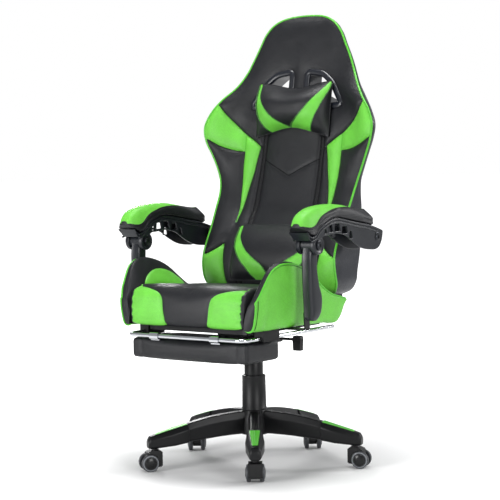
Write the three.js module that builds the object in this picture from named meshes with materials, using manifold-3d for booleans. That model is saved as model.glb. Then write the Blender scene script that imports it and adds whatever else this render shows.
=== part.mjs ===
// Reclining bucket chair on a five-star castor base, with a pull-out footrest.
// Millimetres, +Z up. The lift column stands on the origin, the floor is Z = 0, the sitter faces -Y.
import * as THREE from 'three';
import { mergeVertices } from 'three/addons/utils/BufferGeometryUtils.js';
import Module from 'manifold-3d';

// ---- Driving dimensions ----
const GAP = 0.4;                    // clearance between neighbouring pieces
const SIDES = [1, -1];              // +X is the sitter's left

const LEG_ANGLES = [36, 108, 180, 252, 324];   // degrees about Z, from -Y towards +X
const CASTOR_CIRCLE = 300;          // radius of the circle of castor stems
const CASTOR_TRAIL = 19;            // stem axis to axle
const WHEEL_RADIUS = 25;
// Heading of each castor, degrees about Z from -Y towards +X.
const CASTOR_HEADINGS = [216, 108, 36, 36, 324];

const CYLINDER_RADIUS = 24.9;
const PISTON_RADIUS = 14;
const HUB_TOP = 158;
const COVER_SPLIT = 259;            // top of the lower column cover

const HOUSING = { half: 58, wall: 4, bottom: 352 };
const TILT_AXIS = { y: -60, z: 384 };
const LEVER = { y: -20, z: 372 };
const KNOB_Y = -72;
const PAN = { half: 186, front: -262, rear: 92, bottom: 408.4, top: 424 };

const RECLINE_AXIS = { y: 161, z: 466 };
const RECLINE_LEVER = { y: 124, z: 452 };
const POST_AXIS = { y: -137, z: 458 };
const ARM_FRONT_AXIS = { y: -146, z: 650 };
const ARM_REAR_AXIS = { y: 152, z: 658 };
const ARM_CENTRE = 301.5;

const RAIL = { y: -100, z: 399, half: 203, radius: 6, bar: -220, end: 212, bend: 24 };
const FOOT_PAD = { half: 201, front: -208, rear: -52, bottom: -67, top: -9.5 };

// ---- Materials ----
const finish = (color, roughness, metalness = 0) =>
  new THREE.MeshStandardMaterial({ color, roughness, metalness });
const BLACK_LEATHER = finish(0x2b2c30, 0.5);
const BASE_PLASTIC = finish(0x1d1e21, 0.45);
const ARM_PLASTIC = finish(0x2a2d33, 0.5);
const GREEN = finish(0x7dd660, 0.5);
const CHROME = finish(0xd8dadd, 0.15, 1);
const STEEL = finish(0x191a1c, 0.5, 0.6);
const TYRE = finish(0x8d9093, 0.6);

const chair = new THREE.Group();

function add(name, geometry, material, parent = chair) {
  const mesh = new THREE.Mesh(geometry, material);
  mesh.name = name;
  parent.add(mesh);
  return mesh;
}

function group(x, y, z, headingDeg = 0, parent = chair) {
  const holder = new THREE.Group();
  holder.position.set(x, y, z);
  holder.rotation.z = THREE.MathUtils.degToRad(headingDeg);
  parent.add(holder);
  return holder;
}

// ---- Solids ----
const wasm = await Module();
wasm.setup();

function solid(geometry) {
  const bare = geometry.clone();
  bare.deleteAttribute('normal');
  bare.deleteAttribute('uv');
  const welded = mergeVertices(bare, 1e-4);
  return new wasm.Manifold(new wasm.Mesh({
    numProp: 3,
    vertProperties: new Float32Array(welded.attributes.position.array),
    triVerts: new Uint32Array(welded.index.array),
  }));
}

function geometryOf(manifold) {
  const mesh = manifold.getMesh();
  const geometry = new THREE.BufferGeometry();
  geometry.setAttribute('position', new THREE.BufferAttribute(mesh.vertProperties, 3));
  geometry.setIndex(new THREE.BufferAttribute(mesh.triVerts, 1));
  return geometry;
}

const cut = (body, ...tools) =>
  geometryOf(tools.reduce((rest, tool) => rest.subtract(solid(tool)), solid(body)));
const join = (first, ...others) =>
  geometryOf(others.reduce((sum, other) => sum.add(solid(other)), solid(first)));
const common = (first, second) => geometryOf(solid(first).intersect(solid(second)));

// Turns a shape drawn in (u, v) and extruded along w so that w lies along the named axis.
const PLANES = {
  x: new THREE.Matrix4().makeBasis(
    new THREE.Vector3(0, 1, 0), new THREE.Vector3(0, 0, 1), new THREE.Vector3(1, 0, 0)),
  y: new THREE.Matrix4().makeBasis(
    new THREE.Vector3(0, 0, 1), new THREE.Vector3(1, 0, 0), new THREE.Vector3(0, 1, 0)),
  z: new THREE.Matrix4(),
};

// Outline points are [y, z] along x, [z, x] along y, and [x, y] along z.
function prism(outline, axis, from, to) {
  const shape = new THREE.Shape(outline.map(([u, v]) => new THREE.Vector2(u, v)));
  const geometry = new THREE.ExtrudeGeometry(shape, { depth: to - from, bevelEnabled: false });
  return geometry.translate(0, 0, from).applyMatrix4(PLANES[axis]);
}

function block(x0, x1, y0, y1, z0, z1) {
  return new THREE.BoxGeometry(x1 - x0, y1 - y0, z1 - z0)
    .translate((x0 + x1) / 2, (y0 + y1) / 2, (z0 + z1) / 2);
}

// A disc or rod along an axis, centred on the given point of the plane across it.
function rod(axis, radius, from, to, centre = [0, 0], sides = 24) {
  const outline = [];
  for (let i = 0; i < sides; i++) {
    const angle = (2 * Math.PI * i) / sides;
    outline.push([centre[0] + radius * Math.cos(angle), centre[1] + radius * Math.sin(angle)]);
  }
  return prism(outline, axis, from, to);
}

function roundedRectangle(halfU, v0, v1, radius, steps = 4) {
  const outline = [];
  const corners = [[1, 0], [1, 1], [-1, 1], [-1, 0]];
  corners.forEach(([side, high], index) => {
    const u = side * (halfU - radius);
    const v = high ? v1 - radius : v0 + radius;
    for (let i = 0; i <= steps; i++) {
      const angle = (index - 1 + i / steps) * (Math.PI / 2);
      outline.push([u + radius * Math.cos(angle), v + radius * Math.sin(angle)]);
    }
  });
  return outline;
}

// Skins a row of closed outlines with equal numbers of points, and caps both ends.
function loft(sections) {
  const count = sections[0].length;
  const points = sections.flat();
  const index = [];
  for (let s = 0; s + 1 < sections.length; s++) {
    for (let i = 0; i < count; i++) {
      const a = s * count + i;
      const b = s * count + ((i + 1) % count);
      index.push(a, b, b + count, a, b + count, a + count);
    }
  }
  const last = (sections.length - 1) * count;
  for (let i = 1; i + 1 < count; i++) {
    index.push(0, i + 1, i);
    index.push(last, last + i, last + i + 1);
  }
  const geometry = new THREE.BufferGeometry();
  geometry.setAttribute('position', new THREE.Float32BufferAttribute(points.flat(), 3));
  geometry.setIndex(signedVolume(points, index) > 0 ? index : index.reverse());
  return geometry;
}

function signedVolume(points, index) {
  let volume = 0;
  for (let i = 0; i < index.length; i += 3) {
    const [a, b, c] = [0, 1, 2].map((k) => new THREE.Vector3(...points[index[i + k]]));
    volume += a.dot(b.cross(c)) / 6;
  }
  return volume;
}

// Reads a table of rows [key, value, value, ...] at a key, in straight lines between rows.
function readTable(table, key) {
  const next = Math.max(1, table.findIndex((row) => row[0] >= key));
  const low = table[next - 1];
  const high = table[next];
  const t = Math.min(1, Math.max(0, (key - low[0]) / (high[0] - low[0])));
  return low.map((value, i) => value + (high[i] - value) * t);
}

const mirrored = (sections) => sections.map((ring) => ring.map(([x, y, z]) => [-x, y, z]));
const sideName = (side) => (side > 0 ? 'left' : 'right');

// ---- Star base ----
const INLAY = { start: 207, end: 303, wide: 15, narrow: 8, slope: 15.2, top: 129.2 };

function inlaySolid(grow, low, high) {
  const outline = [
    [INLAY.start - grow, -INLAY.wide - grow], [INLAY.end + grow, -INLAY.narrow - grow],
    [INLAY.end + grow, INLAY.narrow + grow], [INLAY.start - grow, INLAY.wide + grow],
  ];
  const plate = prism(outline.map(([r, w]) => [r - INLAY.start, w]), 'z', low, high);
  plate.rotateY(THREE.MathUtils.degToRad(INLAY.slope));
  return plate.translate(INLAY.start, 0, INLAY.top);
}

function legGeometry() {
  // [distance from the column, top, bottom, half width of the top, half width]
  const stations = [
    [29, 156, 90, 13, 19], [60, 154, 89, 12, 18], [110, 149, 86, 11, 17], [160, 140.5, 81, 11, 17],
    [198, 131.5, 76.5, 12, 18], [204, 130, 76, 17, 24], [245, 119, 70, 15.5, 27],
    [298, 104.6, 65, 11, 20], [316, 99, 64, 9.5, 17], [322, 88, 66, 8, 14],
  ];
  return loft(stations.map(([r, top, bottom, half, wide]) => {
    const shoulder = top - (top - bottom) * 0.3;
    return [
      [r, -half, top], [r, half, top], [r, wide, shoulder], [r, wide - 1, bottom + 5],
      [r, wide - 6, bottom], [r, -wide + 6, bottom], [r, -wide + 1, bottom + 5], [r, -wide, shoulder],
    ];
  }));
}

function addStarBase() {
  const hubWall = [[25.4, 88], [42, 88], [41, 120], [37, 150], [36, HUB_TOP], [25.4, HUB_TOP]];
  const profile = [...hubWall, hubWall[0]].map(([r, z]) => new THREE.Vector2(r, z));
  let base = new THREE.LatheGeometry(profile, 32).rotateX(Math.PI / 2);
  for (const angle of LEG_ANGLES) {
    const leg = cut(legGeometry(), inlaySolid(GAP, -1.8, 12), rod('z', 6, 50, 84, [CASTOR_CIRCLE, 0], 16));
    base = join(base, leg.rotateZ(THREE.MathUtils.degToRad(angle - 90)));
  }
  add('star_base', base, BASE_PLASTIC);
  LEG_ANGLES.forEach((angle, i) => {
    add(`leg_inlay_${i + 1}`, inlaySolid(0, -1.5, 0.8), GREEN, group(0, 0, 0, angle - 90));
  });
}

// ---- Castors, built with the stem on the local origin and the wheels towards +X ----
const WHEEL_INNER = 12.3;
const WHEEL_OUTER = 28.5;
const WHEEL_FACETS = 22;            // each wheel stands on a flat of its tread

function castorHood() {
  const wheelZ = WHEEL_RADIUS;
  const side = [
    [-17, 17], [-12, 13], [-6, 13], [CASTOR_TRAIL + 2, 13], [CASTOR_TRAIL + 14, wheelZ],
    [CASTOR_TRAIL + 12, 44], [CASTOR_TRAIL + 5, 54.5], [11, 59.5], [-12, 59.5], [-17, 55],
  ];
  const hood = prism(side.map(([x, z]) => [z, x]), 'y', -19.5, 19.5);
  const wheelSpace = (from, to) =>
    rod('y', WHEEL_RADIUS + 1.2, from, to, [wheelZ, CASTOR_TRAIL], 28);
  const axleHole = rod('y', 4.4, -30, 30, [wheelZ, CASTOR_TRAIL], 16);
  const body = cut(hood, wheelSpace(WHEEL_INNER - 0.6, 25), wheelSpace(-25, 0.6 - WHEEL_INNER), axleHole);
  const collar = rod('z', 10, 58, 62.5, [0, 0], 20);
  return join(body, collar, rod('z', 5.5, 60, 82, [0, 0], 16));
}

function castorWheels() {
  const corner = WHEEL_RADIUS / Math.cos(Math.PI / WHEEL_FACETS);
  const half = [[0, WHEEL_OUTER], [16, WHEEL_OUTER - 0.5], [22, 25], [corner, 22], [corner, WHEEL_INNER],
    [4, WHEEL_INNER]];
  const profile = [...half, ...half.map(([r, y]) => [r, -y]).reverse()];
  return new THREE.LatheGeometry(profile.map(([r, y]) => new THREE.Vector2(r, y)).reverse(), WHEEL_FACETS)
    .rotateY(Math.PI / WHEEL_FACETS)
    .translate(CASTOR_TRAIL, 0, WHEEL_RADIUS);
}

function addCastors() {
  LEG_ANGLES.forEach((angle, i) => {
    const a = THREE.MathUtils.degToRad(angle);
    const [x, y] = [CASTOR_CIRCLE * Math.sin(a), -CASTOR_CIRCLE * Math.cos(a)];
    const stem = group(x, y, 0, CASTOR_HEADINGS[i] - 90);
    add(`castor_hood_${i + 1}`, castorHood(), BASE_PLASTIC, stem);
    add(`castor_wheels_${i + 1}`, castorWheels(), TYRE, stem);
  });
}

// ---- Lift column ----
function turned(profile, sides = 28) {
  return new THREE.LatheGeometry(profile.map(([r, z]) => new THREE.Vector2(r, z)), sides)
    .rotateX(Math.PI / 2);
}

function addColumn() {
  add('gas_cylinder', turned([[0, 60], [CYLINDER_RADIUS, 60], [CYLINDER_RADIUS, 250],
    [PISTON_RADIUS + 0.5, 250], [PISTON_RADIUS + 0.5, 68], [0, 68]]), STEEL);
  add('gas_piston', rod('z', PISTON_RADIUS, 162, 371), CHROME);
  add('column_cover_lower', turned([[28.4, HUB_TOP + GAP], [35.5, HUB_TOP + GAP], [33.6, COVER_SPLIT - 3],
    [32.4, COVER_SPLIT], [28.4, COVER_SPLIT], [28.4, HUB_TOP + GAP]]), BASE_PLASTIC);
  add('column_cover_upper', turned([[25.6, 251], [27.2, 251], [27.2, 349], [25.6, 349], [25.6, 251]]),
    BASE_PLASTIC);
}

// ---- Tilt mechanism ----
function addMechanism() {
  const { half, wall, bottom } = HOUSING;
  const profile = [[-88, bottom], [66, bottom], [66, 364], [-38, 392], [-88, 392]];
  const inside = [[-84, 340], [62, 340], [62, 361], [-39, 388], [-84, 388]];
  const tub = cut(prism(profile, 'x', -half, half), prism(inside, 'x', wall - half, half - wall));
  const socket = rod('z', 22, bottom, 376);
  const knobBoss = rod('z', 11, bottom, 389, [0, KNOB_Y], 16);
  const housing = cut(
    join(tub, socket, knobBoss),
    rod('z', PISTON_RADIUS + GAP, 340, 371.6),
    rod('x', 8, 50, 70, [LEVER.y, LEVER.z], 16),
    rod('z', 6.4, 340, 366, [0, KNOB_Y], 16),
  );
  const tiltPin = rod('x', 5, -70, 70, [TILT_AXIS.y, TILT_AXIS.z], 16);
  add('mechanism_housing', join(housing, tiltPin), STEEL);
  const knob = turned([[0, 333], [20, 333], [23, 336], [23, 343], [18, 349], [6, 349], [6, 365],
    [0, 365]], 20);
  add('tension_knob', knob.translate(0, KNOB_Y, 0), BASE_PLASTIC);

  const rocker = cut(block(60.2, 74, LEVER.y - 9, LEVER.y + 9, LEVER.z - 9, LEVER.z + 9),
    rod('x', 4.4, 50, 80, [LEVER.y, LEVER.z], 16));
  add('lever_rocker', rocker, STEEL);
  const paddle = prism([[341, 159], [341, 183], [376, 185], [383, 182], [383, 161], [376, 157]],
    'y', LEVER.y - 8, LEVER.y + 8);
  add('lift_lever', join(rod('x', 4, 44, 165, [LEVER.y, LEVER.z], 16), paddle), BASE_PLASTIC);

  const flange = (side) => cut(
    block(Math.min(side * 61.5, side * 65.5), Math.max(side * 61.5, side * 65.5), -84, -36, 374, 405),
    rod('x', 5.4, -80, 80, [TILT_AXIS.y, TILT_AXIS.z], 16));
  const plate = prism(roundedRectangle(95, -105, 105, 12, 3), 'z', 404, 408);
  add('seat_plate', join(plate, flange(1), flange(-1)), STEEL);
}

// ---- Seat ----
// [y, top, bottom, outer x at the top, outer x at the bottom] of a bolster
const BOLSTER = [
  [-318, 452, 428, 204, 200], [-312, 490, 427, 226, 205], [-301, 516, 427, 238, 213],
  [-280, 553, 428, 246, 222], [-257, 586, 429, 251, 229], [-229, 603, 430, 256, 235],
  [-190, 607, 431, 260, 240], [-141, 598, 430, 259, 243], [-80, 572, 429, 257, 245],
  [-40, 545, 426, 256, 246], [0, 519, 424, 255, 246], [31, 504, 422, 255, 246],
  [80, 491, 422, 254, 244], [100, 485, 440, 253, 240], [113, 481, 466, 252, 238],
];
const BOLSTER_INNER = 199.4;

function bolsterRings() {
  return BOLSTER.map(([y, top, bottom, outerTop, outerBottom]) => {
    const at = (t) => bottom + (top - bottom) * t;
    const middle = (outerTop + outerBottom) / 2 + 3;
    const ridge = Math.max(BOLSTER_INNER + 2, outerTop - 12);
    const slope = BOLSTER_INNER + (ridge - BOLSTER_INNER) * 0.35;
    return [
      [BOLSTER_INNER, y, bottom], [outerBottom, y, bottom], [middle, y, at(0.5)], [outerTop, y, at(0.86)],
      [outerTop - 3, y, at(0.97)], [ridge, y, top], [ridge - 8 * (ridge > 212), y, at(0.96)],
      [slope, y, at(0.74)], [BOLSTER_INNER, y, at(0.5)],
    ];
  });
}

function addSeat() {
  const pan = prism(roundedRectangle(PAN.half, PAN.front, PAN.rear, 30, 4), 'z', PAN.bottom, PAN.top);
  add('seat_pan', pan, STEEL);
  const side = [
    [-308, 426.5], [-315, 432], [-319, 455], [-318, 490], [-311, 517], [-298, 530], [-276, 536.5],
    [-200, 534], [-80, 525], [20, 515], [40, 506], [46, 492], [46, 425],
    [-298, 425],
  ];
  add('seat_cushion', prism(side, 'x', -198.6, 198.6), BLACK_LEATHER);
  for (const s of SIDES) {
    const rings = s > 0 ? bolsterRings() : mirrored(bolsterRings());
    add(`seat_bolster_${sideName(s)}`, loft(rings), GREEN);
    addReclineBracket(s);
    addPostBracket(s);
    addFootrestGuide(s);
  }
  const { y, z } = RECLINE_LEVER;
  const handle = [[y - 84, z - 24], [y - 78, z - 31], [y + 6, z - 9], [y + 11, z], [y + 4, z + 9],
    [y - 8, z + 8]];
  const lever = join(rod('x', 7, -265, -194, [y, z], 16), prism(handle, 'x', -270, -261));
  add('recline_lever', lever, BASE_PLASTIC);
}

function spanX(side, near, far) {
  return [Math.min(side * near, side * far), Math.max(side * near, side * far)];
}

function addReclineBracket(side) {
  const { y, z } = RECLINE_AXIS;
  const [x0, x1] = spanX(side, 178, 184);
  const arm = prism([[60, 424.4], [92.6, 424.4], [92.6, 412], [120, 412], [y + 19, z - 8], [y + 16, z + 12],
    [y, z + 20], [y - 16, z + 12], [100, 440], [60, 436]], 'x', x0, x1);
  const bore = rod('x', 6.4, -220, 220, [y, z], 16);
  add(`recline_bracket_${sideName(side)}`, cut(arm, bore), STEEL);
}

function addPostBracket(side) {
  const { y, z } = POST_AXIS;
  const [footIn, footOut] = spanX(side, PAN.half + GAP, 281);
  const [tabIn, tabOut] = spanX(side, 276, 281);
  const foot = block(footIn, footOut, y - 18, y + 18, 415, 420);
  const tab = prism([[y - 8, 416], [y + 18, 416], [y + 15, z + 6], [y + 8, z + 12], [y - 4, z + 12],
    [y - 10, z + 6]], 'x', tabIn, tabOut);
  const [pinIn, pinOut] = spanX(side, 278, 308);
  const pin = rod('x', 5, pinIn, pinOut, [y, z], 16);
  add(`post_bracket_${sideName(side)}`, join(foot, tab, pin), STEEL);
}

// ---- Footrest, built in the plane of the rail's axis ----
function addFootrestGuide(side) {
  const [x0, x1] = spanX(side, PAN.half + GAP, 217);
  const hanger = block(x0, x1, -250, -176, 389.8, 423);
  const bore = rod('y', RAIL.radius + 0.5, -290, -130, [RAIL.z, side * RAIL.half], 20);
  add(`footrest_guide_${sideName(side)}`, cut(hanger, bore), BASE_PLASTIC);
}

function railPath() {
  const path = new THREE.CurvePath();
  const { half, bar, end, bend } = RAIL;
  const v = (x, y) => new THREE.Vector3(x, y, 0);
  path.add(new THREE.LineCurve3(v(half, end), v(half, bar + bend)));
  path.add(new THREE.QuadraticBezierCurve3(v(half, bar + bend), v(half, bar), v(half - bend, bar)));
  path.add(new THREE.LineCurve3(v(half - bend, bar), v(bend - half, bar)));
  path.add(new THREE.QuadraticBezierCurve3(v(bend - half, bar), v(-half, bar), v(-half, bar + bend)));
  path.add(new THREE.LineCurve3(v(-half, bar + bend), v(-half, end)));
  return path;
}

function tubeAlong(path, radius, sides, steps) {
  const shape = new THREE.Shape();
  shape.absarc(0, 0, radius, 0, 2 * Math.PI);
  const outline = new THREE.Shape(shape.getSpacedPoints(sides).slice(0, sides));
  return new THREE.ExtrudeGeometry(outline, { extrudePath: path, steps, bevelEnabled: false });
}

function addFootrest() {
  const rail = group(0, RAIL.y, RAIL.z);
  add('footrest_frame', tubeAlong(railPath(), RAIL.radius, 12, 44), CHROME, rail);
  const { half, front, rear, bottom, top } = FOOT_PAD;
  const notch = (s) => block(...spanX(s, 88, 122), front - 2, front + 32, -13.4, 0);
  const pad = cut(prism(roundedRectangle(half, front, rear, 22, 4), 'z', bottom, top), notch(1), notch(-1));
  add('footrest_pad', pad, BLACK_LEATHER, rail);
  for (const s of SIDES) {
    const [x0, x1] = spanX(s, 90, 120);
    const bore = rod('x', RAIL.radius + GAP, -200, 200, [RAIL.bar, 0], 20);
    const collar = cut(rod('x', 10, x0, x1, [RAIL.bar, 0], 20), bore);
    const tongue = block(x0, x1, RAIL.bar, RAIL.bar + 40, -13, -8.6);
    add(`footrest_hinge_${sideName(s)}`, join(collar, tongue), STEEL, rail);
  }
}

// ---- Backrest ----
// [z, piping half width, piping y, rear-edge y, centre front y, centre rear y]
const BACK = [
  [488, 200, 112, 172, 100, 178], [500, 222, 97, 184, 88, 190], [520, 233, 88, 191, 82, 200],
  [560, 235.5, 77, 199, 84, 214], [600, 233, 78, 214, 96, 228], [640, 232, 95, 222, 114, 240],
  [680, 233, 119, 223, 134, 249], [740, 237, 153, 222, 172, 261], [780, 239, 174, 216, 186, 268],
  [820, 246, 187, 209, 198, 275], [860, 260, 190, 206, 208, 282], [900, 277, 187, 201, 217, 288],
  [940, 294, 181, 195, 225, 294], [980, 299, 182, 197, 233, 301], [1020, 283, 191, 202, 241, 308],
  [1060, 252, 207, 223, 249, 315], [1100, 216, 240, 254, 257, 321], [1140, 192, 261, 275, 265, 327],
  [1180, 173, 272, 284, 272, 332], [1220, 153, 278, 288, 279, 335], [1260, 132, 284, 293, 287, 336],
  [1285, 108, 290, 300, 294, 336], [1299, 82, 297, 309, 301, 333], [1307, 52, 306, 320, 309, 329],
];
const SHELL_SHARE = 0.6;            // half width of the rear shell, as a share of the back's
const SHELL_THICKNESS = 14;
// [x, z] of one vent
const VENT = [[28, 1141], [84, 1133], [120, 1104], [161, 1041], [116, 1037], [28, 1080]];
const VENT_CENTRE = [82, 1088];
const BEZEL_WALL = 7;               // of the bezel outside the vent's outline
const BEZEL_LIP = 4;                // of the bezel inside it
// Where the bezels end in front of the cushion and behind the shell, [y, z]
const BEZEL_REACH = [[240, 1030], [264, 1155], [331, 1155], [313, 1030]];

function backRing([z, half, edge, rearEdge, front, rear]) {
  const depth = rear - SHELL_THICKNESS - GAP;
  const shellEdge = half * SHELL_SHARE + GAP;
  const wrap = (t) => rearEdge + (rear - rearEdge) * t;
  const right = [
    [0, front], [half * 0.42, front + 1], [half * 0.7, edge + (front - edge) * 0.75],
    [half * 0.92, edge + (front - edge) * 0.12], [half, edge], [half, rearEdge],
    [half * 0.95, wrap(0.3)], [half * 0.84, wrap(0.68)], [shellEdge, wrap(0.97)], [shellEdge, depth],
    [0, depth],
  ];
  const left = right.slice(1, -1).reverse().map(([x, y]) => [-x, y]);
  return [...right, ...left].map(([x, y]) => [x, y, z]);
}

function shellRing([z, half, , , , rear]) {
  const w = half * SHELL_SHARE;
  const inner = rear - SHELL_THICKNESS;
  return [[-w, inner, z], [w, inner, z], [w, rear - 2, z], [w * 0.5, rear, z], [-w * 0.5, rear, z],
    [-w, rear - 2, z]];
}

function ventTool(side, grow) {
  const outline = VENT.map(([x, z]) => {
    const [dx, dz] = [x - VENT_CENTRE[0], z - VENT_CENTRE[1]];
    const reach = Math.hypot(dx, dz);
    return [z + (grow * dz) / reach, side * (x + (grow * dx) / reach)];
  });
  return prism(outline, 'y', 150, 380);
}

function bezel(side) {
  const sleeve = cut(ventTool(side, BEZEL_WALL), ventTool(side, -BEZEL_LIP));
  return common(sleeve, prism(BEZEL_REACH, 'x', -200, 200));
}

function addBack() {
  const rings = BACK.map(backRing);
  const vents = SIDES.map((s) => ventTool(s, BEZEL_WALL + 0.5));
  add('back_cushion', cut(loft(rings), ...vents, hingeSlot(1), hingeSlot(-1)), BLACK_LEATHER);
  const shellRows = BACK.filter(([z]) => z >= 500 && z <= 1290);
  add('back_shell', cut(loft(shellRows.map(shellRing)), ...vents), BLACK_LEATHER);
  for (const s of SIDES) {
    add(`vent_bezel_${sideName(s)}`, bezel(s), ARM_PLASTIC);
    addBackHinge(s);
    addArmAnchor(s);
  }
}

const HINGE_BAND = [184.6, 191];    // |x| of the back's hinge plates

function hingeOutline(grow) {
  const { y, z } = RECLINE_AXIS;
  return [[y - 22 - grow, z], [y - 8, z - 22 - grow], [y + 8, z - 22 - grow], [y + 22 + grow, z],
    [y + 26 + grow, 560 + grow], [y + 2 - grow, 560 + grow]];
}

function hingeSlot(side) {
  const [x0, x1] = spanX(side, HINGE_BAND[0] - GAP, HINGE_BAND[1] + GAP);
  return prism(hingeOutline(GAP), 'x', x0, x1);
}

function addBackHinge(side) {
  const { y, z } = RECLINE_AXIS;
  const [x0, x1] = spanX(side, ...HINGE_BAND);
  const [pinIn, pinOut] = spanX(side, 174, 187);
  const plate = prism(hingeOutline(0), 'x', x0, x1);
  add(`back_hinge_${sideName(side)}`, join(plate, rod('x', 6, pinIn, pinOut, [y, z], 16)), STEEL);
}

function addArmAnchor(side) {
  const { y, z } = ARM_REAR_AXIS;
  const [flangeIn, flangeOut] = spanX(side, 236, 240);
  const [bossIn, bossOut] = spanX(side, 238, ARM_CENTRE - 33);
  const [stubIn, stubOut] = spanX(side, 260, ARM_CENTRE + 30);
  add(`arm_anchor_${sideName(side)}`, join(rod('x', 20, flangeIn, flangeOut, [y, z], 20),
    rod('x', 10, bossIn, bossOut, [y, z], 20), rod('x', 6, stubIn, stubOut, [y, z], 16)), STEEL);
}

// ---- Pillows ----
// [z, half width, front y, rear y]
const HEAD_PILLOW = [[948, 106, 196, 222], [958, 124, 182, 224], [985, 130, 172, 229],
  [1030, 130, 168, 236], [1075, 128, 176, 244.5], [1100, 118, 196, 249.5], [1110, 100, 218, 249.5]];
const LUMBAR_PILLOW = [[524, 128, 62, 74], [532, 148, 52, 77], [560, 156, 46, 79], [600, 156, 52, 90],
  [640, 154, 70, 108], [672, 146, 94, 124], [690, 132, 115, 134]];

function pillow(rows, corner) {
  return loft(rows.map(([z, half, front, rear]) => {
    const radius = Math.min(corner, (rear - front) / 2.2);
    return roundedRectangle(half, front, rear, radius, 3).map(([x, y]) => [x, y, z]);
  }));
}

function addPillows() {
  add('head_pillow', pillow(HEAD_PILLOW, 22), BLACK_LEATHER);
  add('lumbar_pillow', pillow(LUMBAR_PILLOW, 24), BLACK_LEATHER);
}

// ---- Armrests ----
// Side outline of the beam, [y, z]: along the pad, down the rear end and back under the arch.
const BEAM_TOP = [[-201, 685], [-182, 675], [-165, 680], [-143, 697.5], [-103, 714.5], [-62, 721.5],
  [-21, 716.5], [42, 705.5], [112, 694.5], [150, 685], [170, 679], [182, 674]];
const BEAM_BOTTOM = [[181, 662], [158, 627], [140, 622.5], [121, 623], [72, 630], [20, 652],
  [-11, 669], [-40, 676], [-63, 678.5], [-104, 675], [-122, 674], [-134, 668], [-155, 666],
  [-176, 665.5], [-192, 668], [-200, 676]];
const BEAM_HALF = 31.5;
const SLOTS = [[-121, -107], [-101, -77], [-70, -40], [-33, -3]];

function beamGeometry() {
  const body = prism([...BEAM_TOP, ...BEAM_BOTTOM], 'x', -BEAM_HALF, BEAM_HALF);
  const slots = SLOTS.map(([y0, y1]) => {
    const low = readTable([[-121, 680], [-63, 685.5], [-6, 676]], (y0 + y1) / 2)[1];
    const rise = y1 < -105 ? 7 : 12;
    return prism([[y0, low - 1], [y1, low], [y1 - 5, low + rise], [y0 + 3, low + rise]], 'x', -60, 60);
  });
  const { y, z } = ARM_FRONT_AXIS;
  const barrelSpace = rod('x', 21.5, -18, 18, [y, z], 24);
  const ear = (x0, x1) => rod('x', 26, x0, x1, [y, z], 24);
  const shell = join(body, ear(18, BEAM_HALF), ear(-BEAM_HALF, -18));
  return cut(shell, barrelSpace, ...slots, rod('x', 5.4, -60, 60, [y, z], 16),
    rod('x', 6.4, -60, 60, [ARM_REAR_AXIS.y, ARM_REAR_AXIS.z], 16));
}

// [y, bottom, seam, top, half width] of the arm pad
const ARM_PAD = [[-211, 700, 706, 713, 15], [-204, 690, 704, 724, 24], [-194, 682.5, 701, 735, 30],
  [-182, 677, 700, 742, 33.5], [-165, 682, 705, 750, 35], [-143, 699.5, 720, 756, 35],
  [-103, 715.5, 737, 759, 34], [-62, 722.5, 746, 760, 33], [-21, 717.5, 746, 757, 32],
  [42, 706.5, 737, 747, 30], [112, 695.5, 717, 738, 28], [131, 691.5, 714, 737, 27],
  [142, 694, 711, 731, 23]];

function padGeometry() {
  return loft(ARM_PAD.map(([y, bottom, seam, top, half]) => [
    [-half + 3, y, bottom], [half - 3, y, bottom], [half, y, (bottom + seam) / 2], [half - 1, y, seam],
    [half * 0.72, y, seam + (top - seam) * 0.62], [half * 0.34, y, top - 1], [-half * 0.34, y, top - 1],
    [-half * 0.72, y, seam + (top - seam) * 0.62], [1 - half, y, seam], [-half, y, (bottom + seam) / 2],
  ]));
}

function postGeometry() {
  // [z, front y, rear y, half width]
  const rows = [[444, -154, -134, 13], [450, -160, -126, 16], [462, -162, -116, 18],
    [482, -163, -109, 18.5], [506, -165, -108, 18.5], [538, -167, -120, 18], [578, -168, -130, 17.5],
    [622, -168, -129, 17], [652, -163, -128, 16]];
  const leg = loft(rows.map(([z, front, rear, half]) => [
    [-half + 5, front, z], [half - 5, front, z], [half, front + 6, z], [half, rear - 7, z],
    [half - 6, rear, z], [-half + 6, rear, z], [-half, rear - 7, z], [-half, front + 6, z],
  ]));
  const barrel = rod('x', 20, -17.2, 17.2, [ARM_FRONT_AXIS.y, ARM_FRONT_AXIS.z], 24);
  return cut(join(leg, barrel), rod('x', 5.6, -40, 40, [ARM_FRONT_AXIS.y, ARM_FRONT_AXIS.z], 16));
}

function addArms() {
  for (const s of SIDES) {
    const name = sideName(s);
    const arm = group(s * ARM_CENTRE, 0, 0);
    add(`arm_beam_${name}`, beamGeometry(), ARM_PLASTIC, arm);
    add(`arm_pad_${name}`, padGeometry(), GREEN, arm);
    const pivot = [ARM_FRONT_AXIS.y, ARM_FRONT_AXIS.z];
    const [shankIn, shankOut] = spanX(1, -33.4, 33.4);
    const pin = join(rod('x', 5, shankIn, shankOut, pivot, 16), rod('x', 9, 31.9, 33.6, pivot, 16),
      rod('x', 9, -33.6, -31.9, pivot, 16));
    add(`arm_pivot_pin_${name}`, pin, STEEL, arm);
    const [screwIn, screwOut] = spanX(s, 31.9, 33.6);
    const screw = rod('x', 7.5, screwIn, screwOut, [ARM_REAR_AXIS.y, ARM_REAR_AXIS.z], 16);
    add(`arm_screw_${name}`, screw, STEEL, arm);
    const post = cut(postGeometry(), rod('x', 5.4, ...spanX(s, -40, 8), [POST_AXIS.y, POST_AXIS.z], 16));
    add(`arm_post_${name}`, post, ARM_PLASTIC, arm);
  }
}

addStarBase();
addCastors();
addColumn();
addMechanism();
addSeat();
addFootrest();
addBack();
addPillows();
addArms();

export default chair;
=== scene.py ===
"""Looks of the reclining bucket chair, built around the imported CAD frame.

Tables are in millimetres in the frame of the part: +Z up, the sitter faces -Y, +X is the sitter's left.
"""
import math

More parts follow.
